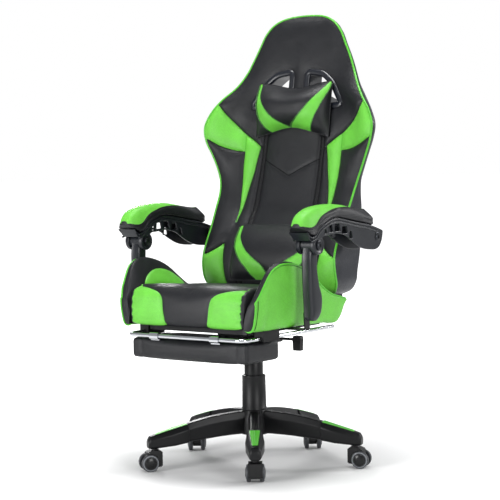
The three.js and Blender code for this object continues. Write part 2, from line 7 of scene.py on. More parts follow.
import bmesh
import bpy
import numpy as np
from mathutils import Matrix, Vector, noise
from mathutils.geometry import delaunay_2d_cdt


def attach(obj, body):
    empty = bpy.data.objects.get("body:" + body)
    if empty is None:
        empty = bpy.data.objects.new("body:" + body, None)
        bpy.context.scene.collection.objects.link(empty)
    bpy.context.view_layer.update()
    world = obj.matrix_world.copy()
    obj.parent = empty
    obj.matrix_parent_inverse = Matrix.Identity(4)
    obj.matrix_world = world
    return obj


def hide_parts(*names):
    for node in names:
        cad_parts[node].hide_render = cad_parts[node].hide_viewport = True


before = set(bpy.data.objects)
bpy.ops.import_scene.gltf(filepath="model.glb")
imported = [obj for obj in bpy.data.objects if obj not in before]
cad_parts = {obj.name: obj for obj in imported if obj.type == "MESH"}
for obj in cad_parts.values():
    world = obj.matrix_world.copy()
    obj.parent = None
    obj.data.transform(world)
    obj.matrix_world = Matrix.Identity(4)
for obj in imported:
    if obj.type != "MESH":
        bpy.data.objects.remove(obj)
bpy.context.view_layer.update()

MM = 0.001
SIDES = {"left": 1, "right": -1}
scene = bpy.context.scene


# ---- Camera, light and floor ----
CAMERA_AZIMUTH, CAMERA_PITCH, CAMERA_ROLL = 36.0, 3.49, -0.95
CAMERA_DISTANCE, CAMERA_HEIGHT, CAMERA_LENS, CAMERA_SHIFT = 4.88, 0.919, 121.7, -0.0034


def add_camera():
    azimuth, pitch, roll = (math.radians(a) for a in (CAMERA_AZIMUTH, CAMERA_PITCH, CAMERA_ROLL))
    ahead = Vector((-math.sin(azimuth), math.cos(azimuth), 0))
    right = Vector((math.cos(azimuth), math.sin(azimuth), 0))
    look = math.cos(pitch) * ahead - Vector((0, 0, math.sin(pitch)))
    up = math.sin(pitch) * ahead + Vector((0, 0, math.cos(pitch)))
    tilted_right = math.cos(roll) * right + math.sin(roll) * up
    tilted_up = math.cos(roll) * up - math.sin(roll) * right
    camera = bpy.data.objects.new("camera", bpy.data.cameras.new("camera"))
    camera.data.lens = CAMERA_LENS
    camera.data.shift_x = CAMERA_SHIFT
    camera.data.clip_end = 100
    turn = Matrix((tilted_right, tilted_up, -look)).transposed().to_4x4()
    camera.matrix_world = Matrix.Translation(-CAMERA_DISTANCE * ahead + Vector((0, 0, CAMERA_HEIGHT))) @ turn
    scene.collection.objects.link(camera)
    scene.camera = camera


def add_area_light(name, place, target, size, power):
    light = bpy.data.lights.new(name, "AREA")
    light.shape = "DISK"
    light.size = size
    light.energy = power
    holder = bpy.data.objects.new(name, light)
    holder.location = place
    holder.rotation_euler = (Vector(target) - Vector(place)).to_track_quat("-Z", "Y").to_euler()
    scene.collection.objects.link(holder)


def add_studio():
    world = bpy.data.worlds.new("studio")
    world.use_nodes = True
    nodes = world.node_tree.nodes
    nodes["Background"].inputs["Color"].default_value = (0.97, 0.98, 1.0, 1)
    nodes["Background"].inputs["Strength"].default_value = 0.40
    camera_sees = nodes.new("ShaderNodeBackground")
    camera_sees.inputs["Color"].default_value = (1, 1, 1, 1)
    mix = nodes.new("ShaderNodeMixShader")
    rays = nodes.new("ShaderNodeLightPath")
    links = world.node_tree.links
    links.new(rays.outputs["Is Camera Ray"], mix.inputs[0])
    links.new(nodes["Background"].outputs[0], mix.inputs[1])
    links.new(camera_sees.outputs[0], mix.inputs[2])
    links.new(mix.outputs[0], nodes["World Output"].inputs["Surface"])
    scene.world = world
    scene.view_settings.view_transform = "Standard"

    add_area_light("key", (-0.9, -3.5, 1.0), (0, 0, 0.5), 1.6, 92)
    add_area_light("fill", (4.6, -2.2, 1.7), (0, 0, 0.6), 1.6, 112)
    add_area_light("top", (0, 0.0, 4.4), (0, 0, 0), 2.0, 165)
    add_area_light("rim_left", (3.0, 3.8, 2.2), (0, 0, 0.8), 1.2, 95)
    add_area_light("rim_right", (-3.6, 3.2, 2.4), (0, 0, 0.8), 1.2, 80)

    bpy.ops.mesh.primitive_circle_add(vertices=96, radius=45, fill_type="NGON")
    floor = bpy.context.object
    floor.name = "floor"
    paint = bpy.data.materials.new("studio_floor")
    paint.use_nodes = True
    shader = paint.node_tree.nodes["Principled BSDF"]
    shader.inputs["Base Color"].default_value = (0.74, 0.74, 0.74, 1)
    shader.inputs["Roughness"].default_value = 0.9
    shader.inputs["Specular IOR Level"].default_value = 0.1
    shader.inputs["Emission Color"].default_value = (1, 1, 1, 1)
    tree = paint.node_tree
    spot = tree.nodes.new("ShaderNodeTexCoord").outputs["Object"]
    reach = tree.nodes.new("ShaderNodeVectorMath")
    reach.operation = "LENGTH"
    tree.links.new(spot, reach.inputs[0])
    glow = tree.nodes.new("ShaderNodeMapRange")
    glow.interpolation_type = "SMOOTHSTEP"
    for socket, value in (("From Min", 0.2), ("From Max", 2.4), ("To Min", 0.0), ("To Max", 1.0)):
        glow.inputs[socket].default_value = value
    tree.links.new(reach.outputs["Value"], glow.inputs["Value"])
    seen = tree.nodes.new("ShaderNodeMath")
    seen.operation = "MULTIPLY"
    tree.links.new(glow.outputs["Result"], seen.inputs[0])
    tree.links.new(tree.nodes.new("ShaderNodeLightPath").outputs["Is Camera Ray"], seen.inputs[1])
    tree.links.new(seen.outputs["Value"], shader.inputs["Emission Strength"])
    floor.data.materials.append(paint)


# ---- Materials ----
def linear(red, green, blue):
    """A colour given as 0-255 screen values."""
    def one(value):
        value /= 255
        return value / 12.92 if value <= 0.04045 else ((value + 0.055) / 1.055) ** 2.4
    return [one(red), one(green), one(blue)]


def surface(name, colour, roughness, pattern, scale, depth, broad_scale, broad_depth, mottle=0.12,
            spread=0.08, **sockets):
    """A material whose fine pattern is leather cells, a moulded or brushed grain, over a broad unevenness."""
    material = bpy.data.materials.new(name)
    material.use_nodes = True
    tree = material.node_tree
    shader = tree.nodes["Principled BSDF"]
    for socket, value in sockets.items():
        shader.inputs[socket.replace("_", " ")].default_value = value

    def node(kind, **values):
        made = tree.nodes.new(kind)
        for key, value in values.items():
            made.inputs[key.replace("_", " ")].default_value = value
        return made

    def link(output, target):
        tree.links.new(output, target)

    place = tree.nodes.new("ShaderNodeTexCoord").outputs["Object"]
    if pattern == "brushed":
        stretch = node("ShaderNodeMapping", Scale=(1.0, 0.06, 1.0))
        link(place, stretch.inputs["Vector"])
        fine_place = stretch.outputs["Vector"]
    else:
        fine_place = place
    if pattern == "cells":
        fine = node("ShaderNodeTexVoronoi", Scale=scale, Randomness=0.9)
        fine.feature = "DISTANCE_TO_EDGE"
        fine_out = fine.outputs["Distance"]
    else:
        fine = node("ShaderNodeTexNoise", Scale=scale, Detail=3.0, Roughness=0.6)
        fine_out = fine.outputs["Fac"]
    link(fine_place, fine.inputs["Vector"])
    crease = node("ShaderNodeMapRange", From_Min=0.0, From_Max=0.25 if pattern == "cells" else 1.0)
    link(fine_out, crease.inputs["Value"])

    broad = node("ShaderNodeTexNoise", Scale=broad_scale, Detail=4.0, Roughness=0.55, Distortion=0.4)
    link(place, broad.inputs["Vector"])

    shades = tree.nodes.new("ShaderNodeValToRGB")
    shades.color_ramp.elements[0].position = 0.3
    shades.color_ramp.elements[1].position = 0.7
    shades.color_ramp.elements[0].color = [c * (1 - mottle) for c in colour] + [1]
    shades.color_ramp.elements[1].color = [min(1, c * (1 + mottle)) for c in colour] + [1]
    link(broad.outputs["Fac"], shades.inputs["Fac"])
    # Painted shade: with leather cells the colour is darkened in the creases between the cells. With the
    # noise patterns the same multiply gives a random tone.
    crease_shade_and_tone = node("ShaderNodeMix")
    crease_shade_and_tone.data_type = "RGBA"
    crease_shade_and_tone.blend_type = "MULTIPLY"
    crease_shade_and_tone.inputs["Factor"].default_value = 0.35
    link(shades.outputs["Color"], crease_shade_and_tone.inputs["A"])
    link(crease.outputs["Result"], crease_shade_and_tone.inputs["B"])
    link(crease_shade_and_tone.outputs["Result"], shader.inputs["Base Color"])

    gloss = node("ShaderNodeMapRange", To_Min=roughness - spread, To_Max=roughness + spread)
    link(broad.outputs["Fac"], gloss.inputs["Value"])
    link(gloss.outputs["Result"], shader.inputs["Roughness"])

    fine_bump = node("ShaderNodeBump", Strength=1.0, Distance=depth)
    link(crease.outputs["Result"], fine_bump.inputs["Height"])
    broad_bump = node("ShaderNodeBump", Strength=1.0, Distance=broad_depth)
    link(broad.outputs["Fac"], broad_bump.inputs["Height"])
    link(fine_bump.outputs["Normal"], broad_bump.inputs["Normal"])
    link(broad_bump.outputs["Normal"], shader.inputs["Normal"])
    return material


def leather(name, colour, roughness=0.44, grain=0.00012, **more):
    return surface(name, colour, roughness, "cells", 620, grain, 26, 0.0009, **more)


def plastic(name, colour, roughness, grain=0.00004, **more):
    return surface(name, colour, roughness, "noise", 2600, grain, 18, 0.0001, mottle=0.06, spread=0.04,
                   **more)


BLACK_LEATHER = leather("black_leather", linear(21, 22, 26), 0.44, Specular_IOR_Level=0.34)
SIDE_LEATHER = leather("smooth_black_leather", linear(24, 27, 36), 0.34, 0.00006, Specular_IOR_Level=0.46)
GREEN_LEATHER = leather("green_leather", linear(106, 198, 64), 0.44, mottle=0.07, Specular_IOR_Level=0.36)
GREEN_PIPING = leather("green_piping", linear(88, 188, 50), 0.4, 0.00006, mottle=0.06, Specular_IOR_Level=0.4)
# Painted shade: a dark green for the thin tube laid in the crease inside the bolster piping, where the
# crease's shadow falls.
CREASE_SHADE = leather("green_crease_shade", linear(34, 84, 24), 0.5, Specular_IOR_Level=0.2)
# Painted shade: a near-black for the tube laid along the chevron fold of the back, where the fold's shadow
# falls.
BLACK_CREASE_SHADE = leather("black_crease_shade", linear(8, 8, 9), 0.7, Specular_IOR_Level=0.1)
# Painted shade: a darker black for the recessed strip between the centre panel and the side strip, where the
# groove's shadow falls.
GROOVE_SHADE_STRIP = leather("groove_shade_strip", linear(13, 14, 16), 0.48, Specular_IOR_Level=0.24)
THREAD = surface("thread", linear(46, 48, 52), 0.6, "noise", 3000, 0.00005, 60, 0.0001)
GREEN_THREAD = surface("green_thread", linear(120, 216, 90), 0.6, "noise", 3000, 0.00005, 60, 0.0001)
ARM_PLASTIC = plastic("arm_plastic", linear(24, 27, 33), 0.36, Specular_IOR_Level=0.42)
BEZEL_PLASTIC = plastic("bezel_plastic", linear(22, 25, 33), 0.30)
BASE_PLASTIC = plastic("base_plastic", linear(10, 11, 13), 0.42, 0.00007, Specular_IOR_Level=0.26)
INLAY_PLASTIC = plastic("inlay_plastic", linear(96, 206, 62), 0.38)
HOOD_PLASTIC = plastic("hood_plastic", linear(10, 10, 12), 0.32, Specular_IOR_Level=0.36)
CAP_PLASTIC = plastic("cap_plastic", linear(12, 13, 15), 0.28, Specular_IOR_Level=0.4)
TYRE = plastic("tyre", linear(52, 54, 58), 0.40, 0.00005)
WHEEL_RING = plastic("wheel_ring", linear(118, 121, 126), 0.34)
STEEL = surface("black_steel", linear(18, 19, 21), 0.42, "noise", 900, 0.00003, 40, 0.00005, Metallic=0.35)
SCREW_STEEL = surface("screw_steel", linear(60, 62, 66), 0.34, "brushed", 900, 0.00003, 40, 0.00003,
                      Metallic=0.9)
CHROME = surface("chrome", linear(226, 229, 233), 0.09, "brushed", 500, 0.000004, 30, 0.000004, mottle=0.03,
                 spread=0.04, Metallic=1.0)
CYLINDER = surface("cylinder_steel", linear(30, 31, 34), 0.36, "brushed", 700, 0.00002, 30, 0.00003,
                   Metallic=0.6)


# ---- Curves and tables ----
def through(rows):
    """A smooth function through a table of rows [key, value, value, ...]."""
    table = np.array(rows, float)
    keys, values = table[:, 0], table[:, 1:]
    slopes = np.gradient(values, keys, axis=0)

    def at(key):
        key = np.clip(np.asarray(key, float), keys[0], keys[-1])
        i = np.clip(np.searchsorted(keys, key) - 1, 0, len(keys) - 2)
        span = (keys[i + 1] - keys[i])[..., None]
        t = (key - keys[i])[..., None] / span
        lower = (1 + 2 * t) * (1 - t) ** 2 * values[i] + t * (1 - t) ** 2 * span * slopes[i]
        upper = t * t * (3 - 2 * t) * values[i + 1] - t * t * (1 - t) * span * slopes[i + 1]
        return lower + upper
    return at


def along(points, spacing, closed=False, smooth=True):
    """Points a set distance apart on a line through the given ones."""
    points = np.array(points, float)
    if closed:
        points = np.vstack([points, points[:1]])
    if smooth:
        padded = np.vstack([points[-2:-1], points, points[1:2]]) if closed else points
        keys = np.r_[0, np.cumsum(np.linalg.norm(np.diff(padded, axis=0), axis=1))]
        curve = through(np.c_[keys, padded])
        first, last = (keys[1], keys[-2]) if closed else (keys[0], keys[-1])
        points = curve(np.linspace(first, last, 16 * len(points)))
    keys = np.r_[0, np.cumsum(np.linalg.norm(np.diff(points, axis=0), axis=1))]
    count = max(2, int(round(keys[-1] / spacing)) + 1)
    wanted = np.linspace(0, keys[-1], count)
    line = np.stack([np.interp(wanted, keys, points[:, k]) for k in range(points.shape[1])], axis=1)
    return line[:-1] if closed else line


def spread_out(stops, counts):
    """Positions from the first stop to the last, each stretch between two stops cut into its own count."""
    parts = [np.linspace(a, b, n, endpoint=False) for a, b, n in zip(stops, stops[1:], counts)]
    return np.r_[np.concatenate(parts), stops[-1]]


def rounded(points, radius, steps=5):
    """A closed outline with its corners turned into short curves."""
    points = np.array(points, float)
    line = []
    for i, corner in enumerate(points):
        before, after = points[i - 1], points[(i + 1) % len(points)]
        start = corner + (before - corner) * min(0.5, radius / np.linalg.norm(before - corner))
        end = corner + (after - corner) * min(0.5, radius / np.linalg.norm(after - corner))
        for t in np.linspace(0, 1, steps):
            line.append((1 - t) ** 2 * start + 2 * t * (1 - t) * corner + t * t * end)
    return np.array(line)


def outset(loop, distance):
    """A closed plane outline moved outwards along its normals."""
    ahead = np.roll(loop, -1, axis=0) - np.roll(loop, 1, axis=0)
    ahead /= np.linalg.norm(ahead, axis=1)[:, None]
    x, y = loop[:, 0], loop[:, 1]
    turn = np.sign(np.sum(x * np.roll(y, -1) - np.roll(x, -1) * y))
    return loop + distance * turn * np.c_[ahead[:, 1], -ahead[:, 0]]


def inside(points, loop):
    """Which plane points lie inside a closed outline."""
    x, y = points[:, 0][:, None], points[:, 1][:, None]
    x0, y0 = loop[:, 0][None], loop[:, 1][None]
    x1, y1 = np.roll(loop[:, 0], -1)[None], np.roll(loop[:, 1], -1)[None]
    crosses = (y0 > y) != (y1 > y)
    rise = np.where(y1 == y0, 1e-9, y1 - y0)
    return np.sum(crosses & (x < (x1 - x0) * (y - y0) / rise + x0), axis=1) % 2 == 1


def distance_to(points, line, closed=False):
    """Distance of plane points from a line."""
    starts = line if closed else line[:-1]
    ends = np.roll(line, -1, axis=0) if closed else line[1:]
    run = ends - starts
    length = np.maximum(np.sum(run * run, axis=1), 1e-12)
    best = np.full(len(points), 1e9)
    for start, step, size in zip(starts, run, length):
        t = np.clip(((points - start) @ step) / size, 0, 1)
        gap = points - start - t[:, None] * step
        best = np.minimum(best, np.einsum("ij,ij->i", gap, gap))
    return np.sqrt(best)


# ---- Meshes ----
STITCH_PITCH, STITCH_LENGTH, SHORTEST_STITCH, THREAD_RADIUS = 5, 3, 0.5, 0.5


def make(name, points, faces, look, index=None, sharp=40, weld=False):
    """A mesh object from points in millimetres."""
    mesh = bpy.data.meshes.new(name)
    mesh.from_pydata((np.asarray(points, float) * MM).tolist(), [], [list(map(int, f)) for f in faces])
    for material in look if isinstance(look, (list, tuple)) else [look]:
        mesh.materials.append(material)
    mesh.polygons.foreach_set("use_smooth", [True] * len(mesh.polygons))
    if index is not None:
        mesh.polygons.foreach_set("material_index", [int(i) for i in index])
    edit = bmesh.new()
    edit.from_mesh(mesh)
    if weld:
        bmesh.ops.remove_doubles(edit, verts=edit.verts, dist=2e-5)
    bmesh.ops.recalc_face_normals(edit, faces=edit.faces)
    limit = math.radians(sharp)
    for edge in edit.edges:
        edge.smooth = edge.calc_face_angle(0) < limit
    edit.to_mesh(mesh)
    edit.free()
    piece = bpy.data.objects.new(name, mesh)
    scene.collection.objects.link(piece)
    return piece


def place(piece, body, slot, *nodes):
    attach(piece, body)
    if nodes:
        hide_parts(*nodes)


def bevelled(piece, width, segments=2, angle=35):
    modifier = piece.modifiers.new("bevel", "BEVEL")
    modifier.width = width * MM
    modifier.segments = segments
    modifier.limit_method = "ANGLE"
    modifier.angle_limit = math.radians(angle)
    modifier.harden_normals = False
    return piece


def finer(piece):
    modifier = piece.modifiers.new("finer", "SUBSURF")
    modifier.levels = 1
    modifier.render_levels = 1


def skin(rings, caps=True, wrap=False):
    """Points and faces over a row of rings of equal length."""
    rings = np.asarray(rings, float)
    rows, count = rings.shape[:2]
    faces = []
    for r in range(rows if wrap else rows - 1):
        a, b = r * count, ((r + 1) % rows) * count
        faces += [(a + i, a + (i + 1) % count, b + (i + 1) % count, b + i) for i in range(count)]
    if caps and not wrap:
        faces.append(tuple(range(count)))
        faces.append(tuple((rows - 1) * count + i for i in range(count)))
    return rings.reshape(-1, 3), faces


def joined(parts):
    """Several (points, faces) as one."""
    points, faces, start = [], [], 0
    for part_points, part_faces in parts:
        points.append(np.asarray(part_points, float))
        faces += [tuple(start + i for i in face) for face in part_faces]
        start += len(part_points)
    return np.vstack(points), faces


def lathe(profile, sides=48, axis="z", centre=(0, 0, 0), wrap=False):
    """A turned shape. The profile is [radius, position along the axis]."""
    angle = np.linspace(0, 2 * math.pi, sides, endpoint=False)
    rings = []
    for radius, position in profile:
        u, v = radius * np.cos(angle), radius * np.sin(angle)
        w = np.full(sides, float(position))
        rings.append(np.stack({"z": (u, v, w), "x": (w, u, v), "y": (v, w, u)}[axis], axis=1))
    points, faces = skin(rings, wrap=wrap)
    return points + np.array(centre, float), faces


def swept(line, radius, sides=10, closed=False, rib=(0, 0)):
    """A tube along a line. rib is the pitch and depth of the rings on its surface."""
    line = np.asarray(line, float)
    ahead = np.roll(line, -1, axis=0) - np.roll(line, 1, axis=0)
    if not closed:
        ahead[0], ahead[-1] = line[1] - line[0], line[-1] - line[-2]
    ahead /= np.linalg.norm(ahead, axis=1)[:, None]
    normal = np.cross(ahead[0], (0.3, 0.5, 0.8))
    run = np.r_[0, np.cumsum(np.linalg.norm(np.diff(line, axis=0), axis=1))]
    angle = np.linspace(0, 2 * math.pi, sides, endpoint=False)
    rings = []
    for centre, tangent, s in zip(line, ahead, run):
        normal = normal - tangent * normal.dot(tangent)
        normal /= np.linalg.norm(normal)
        side = np.cross(tangent, normal)
        size = radius - (rib[1] * (0.5 + 0.5 * math.cos(2 * math.pi * s / rib[0])) if rib[1] else 0)
        rings.append(centre + size * (np.outer(np.cos(angle), normal) + np.outer(np.sin(angle), side)))
    if not closed:
        return skin(rings)
    points, faces = skin(rings, caps=False)
    last = (len(rings) - 1) * sides
    shift = int(np.argmin([np.linalg.norm(rings[-1] - np.roll(rings[0], -k, axis=0)) for k in range(sides)]))
    faces += [(last + i, last + (i + 1) % sides, (i + 1 + shift) % sides, (i + shift) % sides)
              for i in range(sides)]
    return points, faces


def piping(line, radius=3.6, closed=False):
    """Ribbed piping along a line."""
    return swept(along(line, 1.3, closed, smooth=False), radius, 8, closed, rib=(3.9, 0.5))


def stitches(line):
    """A row of short threads along a line."""
    line = along(line, 1.0, smooth=False)
    parts = []
    for start in range(0, len(line) - STITCH_PITCH, STITCH_PITCH):
        a, b = line[start], line[min(start + STITCH_LENGTH, len(line) - 1)]
        if np.linalg.norm(b - a) > SHORTEST_STITCH:
            parts.append(swept([a, a + (b - a) * 0.25, a + (b - a) * 0.75, b], THREAD_RADIUS, 5))
    return joined(parts)


def slab(outline, low, high, radius, steps=4, holes=()):
    """A plate with rounded edges, drawn in (u, v) with w from low to high. Points are (u, v, w)."""
    def edge_rings(loop, out):
        rings = []
        for end, sign in ((low, 1), (high, -1)):
            turns = np.linspace(0, math.pi / 2, steps + 1)
            turns = turns if sign > 0 else turns[::-1]
            for turn in turns:
                grown = outset(loop, -out * radius * (1 - math.sin(turn)))
                rings.append(np.c_[grown, np.full(len(loop), end + sign * radius * (1 - math.cos(turn)))])
        return rings

    parts, caps = [], []
    for loop, out in [(np.asarray(outline, float), 1)] + [(np.asarray(h, float), -1) for h in holes]:
        rings = edge_rings(loop, out)
        parts.append(skin(rings, caps=False))
        caps.append((rings[0], rings[-1]))
    for end in (0, 1):
        loops = [c[end] for c in caps]
        flat, triangles = triangles_in(loops[0][:, :2], [h[:, :2] for h in loops[1:]])
        parts.append((np.c_[flat, np.full(len(flat), loops[0][0, 2])], triangles))
    return joined(parts)


def triangles_in(outline, holes=(), lines=(), spacing=None):
    """Triangles that fill an outline around its holes and follow the lines drawn across it."""
    loops = [outline, *holes]
    points, edges, start = [], [], 0
    for line, closed in [(loop, True) for loop in loops] + [(line, False) for line in lines]:
        count = len(line)
        points.append(line)
        edges += [(start + i, start + (i + 1) % count) for i in range(count if closed else count - 1)]
        start += count
    if spacing:
        low, high = outline.min(axis=0), outline.max(axis=0)
        rise = spacing * math.sqrt(0.75)
        rows = np.arange(low[1] + rise, high[1], rise)
        grid = [np.arange(low[0] + spacing * (0.5 * k + 0.25), high[0], spacing) for k in range(2)]
        cells = np.vstack([np.c_[grid[k % 2], np.full(len(grid[k % 2]), z)] for k, z in enumerate(rows)])
        keep = inside(cells, outline) & (distance_to(cells, outline, True) > 0.55 * spacing)
        for hole in holes:
            keep &= ~inside(cells, hole) & (distance_to(cells, hole, True) > 0.55 * spacing)
        cells = cells[keep]
        for line in lines:
            cells = cells[distance_to(cells, line) > 0.45 * spacing]
        points.append(cells)
    flat = np.vstack(points)
    made = delaunay_2d_cdt([Vector(p) for p in flat.tolist()], edges, [], 0, 1e-5)
    verts = np.array([list(v) for v in made[0]])
    triangles = np.array([f for f in made[2] if len(f) == 3])
    centres = verts[triangles].mean(axis=1)
    keep = inside(centres, outline)
    for hole in holes:
        keep &= ~inside(centres, hole)
    return verts, triangles[keep]


def inflate(piece, pinned, pressure, cap, frames=16, stiffness=12.0):
    """Puffs a padded piece up with cloth simulation between its pinned seams."""
    group = piece.vertex_groups.new(name="seams")
    group.add([int(i) for i in pinned], 1.0, "REPLACE")
    cloth = piece.modifiers.new("cloth", "CLOTH")
    settings = cloth.settings
    settings.quality = 6
    settings.mass = 0.35
    settings.tension_stiffness = stiffness
    settings.compression_stiffness = stiffness
    settings.shear_stiffness = stiffness / 2
    settings.bending_stiffness = 0.6
    settings.use_pressure = True
    settings.uniform_pressure_force = pressure
    settings.vertex_group_mass = "seams"
    settings.effector_weights.gravity = 0
    cloth.point_cache.frame_start = 1
    cloth.point_cache.frame_end = frames
    for step in range(1, frames + 1):
        scene.frame_set(step)
    result = piece.evaluated_get(bpy.context.evaluated_depsgraph_get()).data
    count = len(piece.data.vertices)
    before, after = np.empty(count * 3), np.empty(count * 3)
    piece.data.vertices.foreach_get("co", before)
    result.vertices.foreach_get("co", after)
    before, move = before.reshape(-1, 3), (after - before).reshape(-1, 3)
    size = np.linalg.norm(move, axis=1)
    move *= np.minimum(1, cap * MM / np.maximum(size, 1e-9))[:, None]
    piece.modifiers.remove(cloth)
    piece.vertex_groups.remove(group)
    piece.data.vertices.foreach_set("co", (before + move).ravel())
    piece.data.update()
    scene.frame_set(1)


# ---- Backrest ----
# [z, half width at the piping, piping y, rear edge y, centre front y, centre rear y]
BACK = [
    [488, 200, 112, 172, 100, 178], [500, 222, 97, 184, 88, 190], [520, 233, 88, 191, 82, 200],
    [560, 235.5, 77, 199, 84, 214], [600, 233, 78, 214, 96, 228], [640, 232, 95, 222, 114, 240],
    [680, 233, 119, 223, 134, 249], [740, 237, 153, 222, 172, 261], [780, 239, 174, 216, 186, 268],
    [820, 246, 187, 209, 198, 275], [860, 260, 190, 206, 208, 282], [900, 277, 187, 201, 217, 288],
    [940, 294, 181, 195, 225, 294], [980, 299, 182, 197, 233, 301], [1020, 283, 191, 202, 241, 308],
    [1060, 252, 207, 223, 249, 315], [1100, 216, 240, 254, 257, 321], [1140, 192, 261, 275, 265, 327],
    [1180, 173, 272, 284, 272, 332], [1220, 153, 278, 288, 279, 335], [1260, 132, 284, 293, 287, 336],
    [1285, 108, 290, 300, 294, 336], [1299, 82, 297, 309, 301, 333], [1307, 52, 306, 320, 309, 329],
]
BACK_BOTTOM, BACK_TOP = BACK[0][0], BACK[-1][0]
FRONT_BLEND = through([[0, 0], [0.42, 0.02], [0.7, 0.25], [0.92, 0.88], [1, 1]])
REAR_BLEND = through([[0, 1], [0.6, 0.97], [0.84, 0.68], [0.95, 0.3], [1, 0]])
SHELL_SHARE, SHELL_BOTTOM, SHELL_TOP, SHELL_THICK = 0.6, 500, 1290, 14
SHELL_PUFF, SHELL_REACH, SHELL_TRIM = 2.5, 18, 4
CUSHION_PUFF, CUSHION_REACH, CUSHION_GAP = 8.5, 20, 0.4
VENT_GROWTH, STITCH_SHIFT, SEAM_SPACING = 6.5, 3.4, 5.0
VENT = [[28, 1141], [84, 1133], [120, 1104], [161, 1041], [116, 1037], [28, 1080]]
PANEL_EDGE = [[98, 488], [98, 620], [98, 760], [97, 900], [94, 1000], [92, 1030]]
STRIP_EDGE = [[115, 488], [115, 620], [114, 760], [111, 860], [107, 1000], [104, 1029]]
WEDGE = [[175, 956], [150, 941], [119, 919], [127, 882], [133, 842], [140, 812], [145, 785], [152, 735],
         [157, 690], [162, 735], [167, 778], [171, 820], [174, 862], [174, 905]]
WING_TOP = [[175, 956], [203, 980], [232, 1010], [256, 1042]]
WING_BOTTOM = [[174, 905], [205, 909], [245, 921], [297, 948]]
LOWER_WING_TOP = [[240, 596], [215, 606], [176, 631]]
LOWER_WING_INNER = [[176, 631], [170, 580], [160, 530], [150, 488]]
CHEVRON = [[97, 880], [50, 857], [0, 832], [-50, 857], [-97, 880]]
back_at = through(BACK)


def front_y(x, z):
    half, edge, _, front, _ = np.moveaxis(back_at(z), -1, 0)
    share = FRONT_BLEND(np.clip(np.abs(x) / half, 0, 1))[..., 0]
    return front + (edge - front) * share


def rear_y(x, z):
    half, _, rear_edge, _, rear = np.moveaxis(back_at(z), -1, 0)
    share = REAR_BLEND(np.clip(np.abs(x) / half, 0, 1))[..., 0]
    return rear_edge + (rear - rear_edge) * share


def shell_front_y(z, gap=0):
    """The front of the rear shell, or a surface a gap in front of it."""
    return back_at(z)[:, 4] - SHELL_THICK - gap


def shell_z(z):
    """The height on the shell's outline that belongs to a height on the cushion's."""
    return SHELL_BOTTOM + (z - BACK_BOTTOM) * (SHELL_TOP - SHELL_BOTTOM) / (BACK_TOP - BACK_BOTTOM)


def shell_swell(gap):
    """How far the shell's cover swells at a distance from its nearest seam."""
    return SHELL_PUFF * (1 - np.exp(-gap / SHELL_REACH))


def back_outline(spacing=5.0):
    right = [[row[1], row[0]] for row in BACK]
    left = [[-x, z] for x, z in reversed(right)]
    middle = [[26, BACK_TOP + 2], [-26, BACK_TOP + 2]]
    side = along(right, spacing)
    top = along([right[-1], *middle, left[0]], spacing)[1:-1]
    bottom = along([left[-1], right[0]], spacing)[1:-1]
    return np.vstack([side, top, side[::-1] * [-1, 1], bottom])


def vent_loops(grow, spacing=3.5):
    loop = along(rounded(VENT, 17), spacing, closed=True, smooth=False)
    return [outset(loop * [side, 1], grow) for side in SIDES.values()]


def snapped(line, outline):
    """A line whose ends near the outline are moved onto its points."""
    line = line.copy()
    for end in (0, -1):
        gaps = np.linalg.norm(outline - line[end], axis=1)
        if gaps.min() < 16:
            line[end] = outline[gaps.argmin()]
    return line


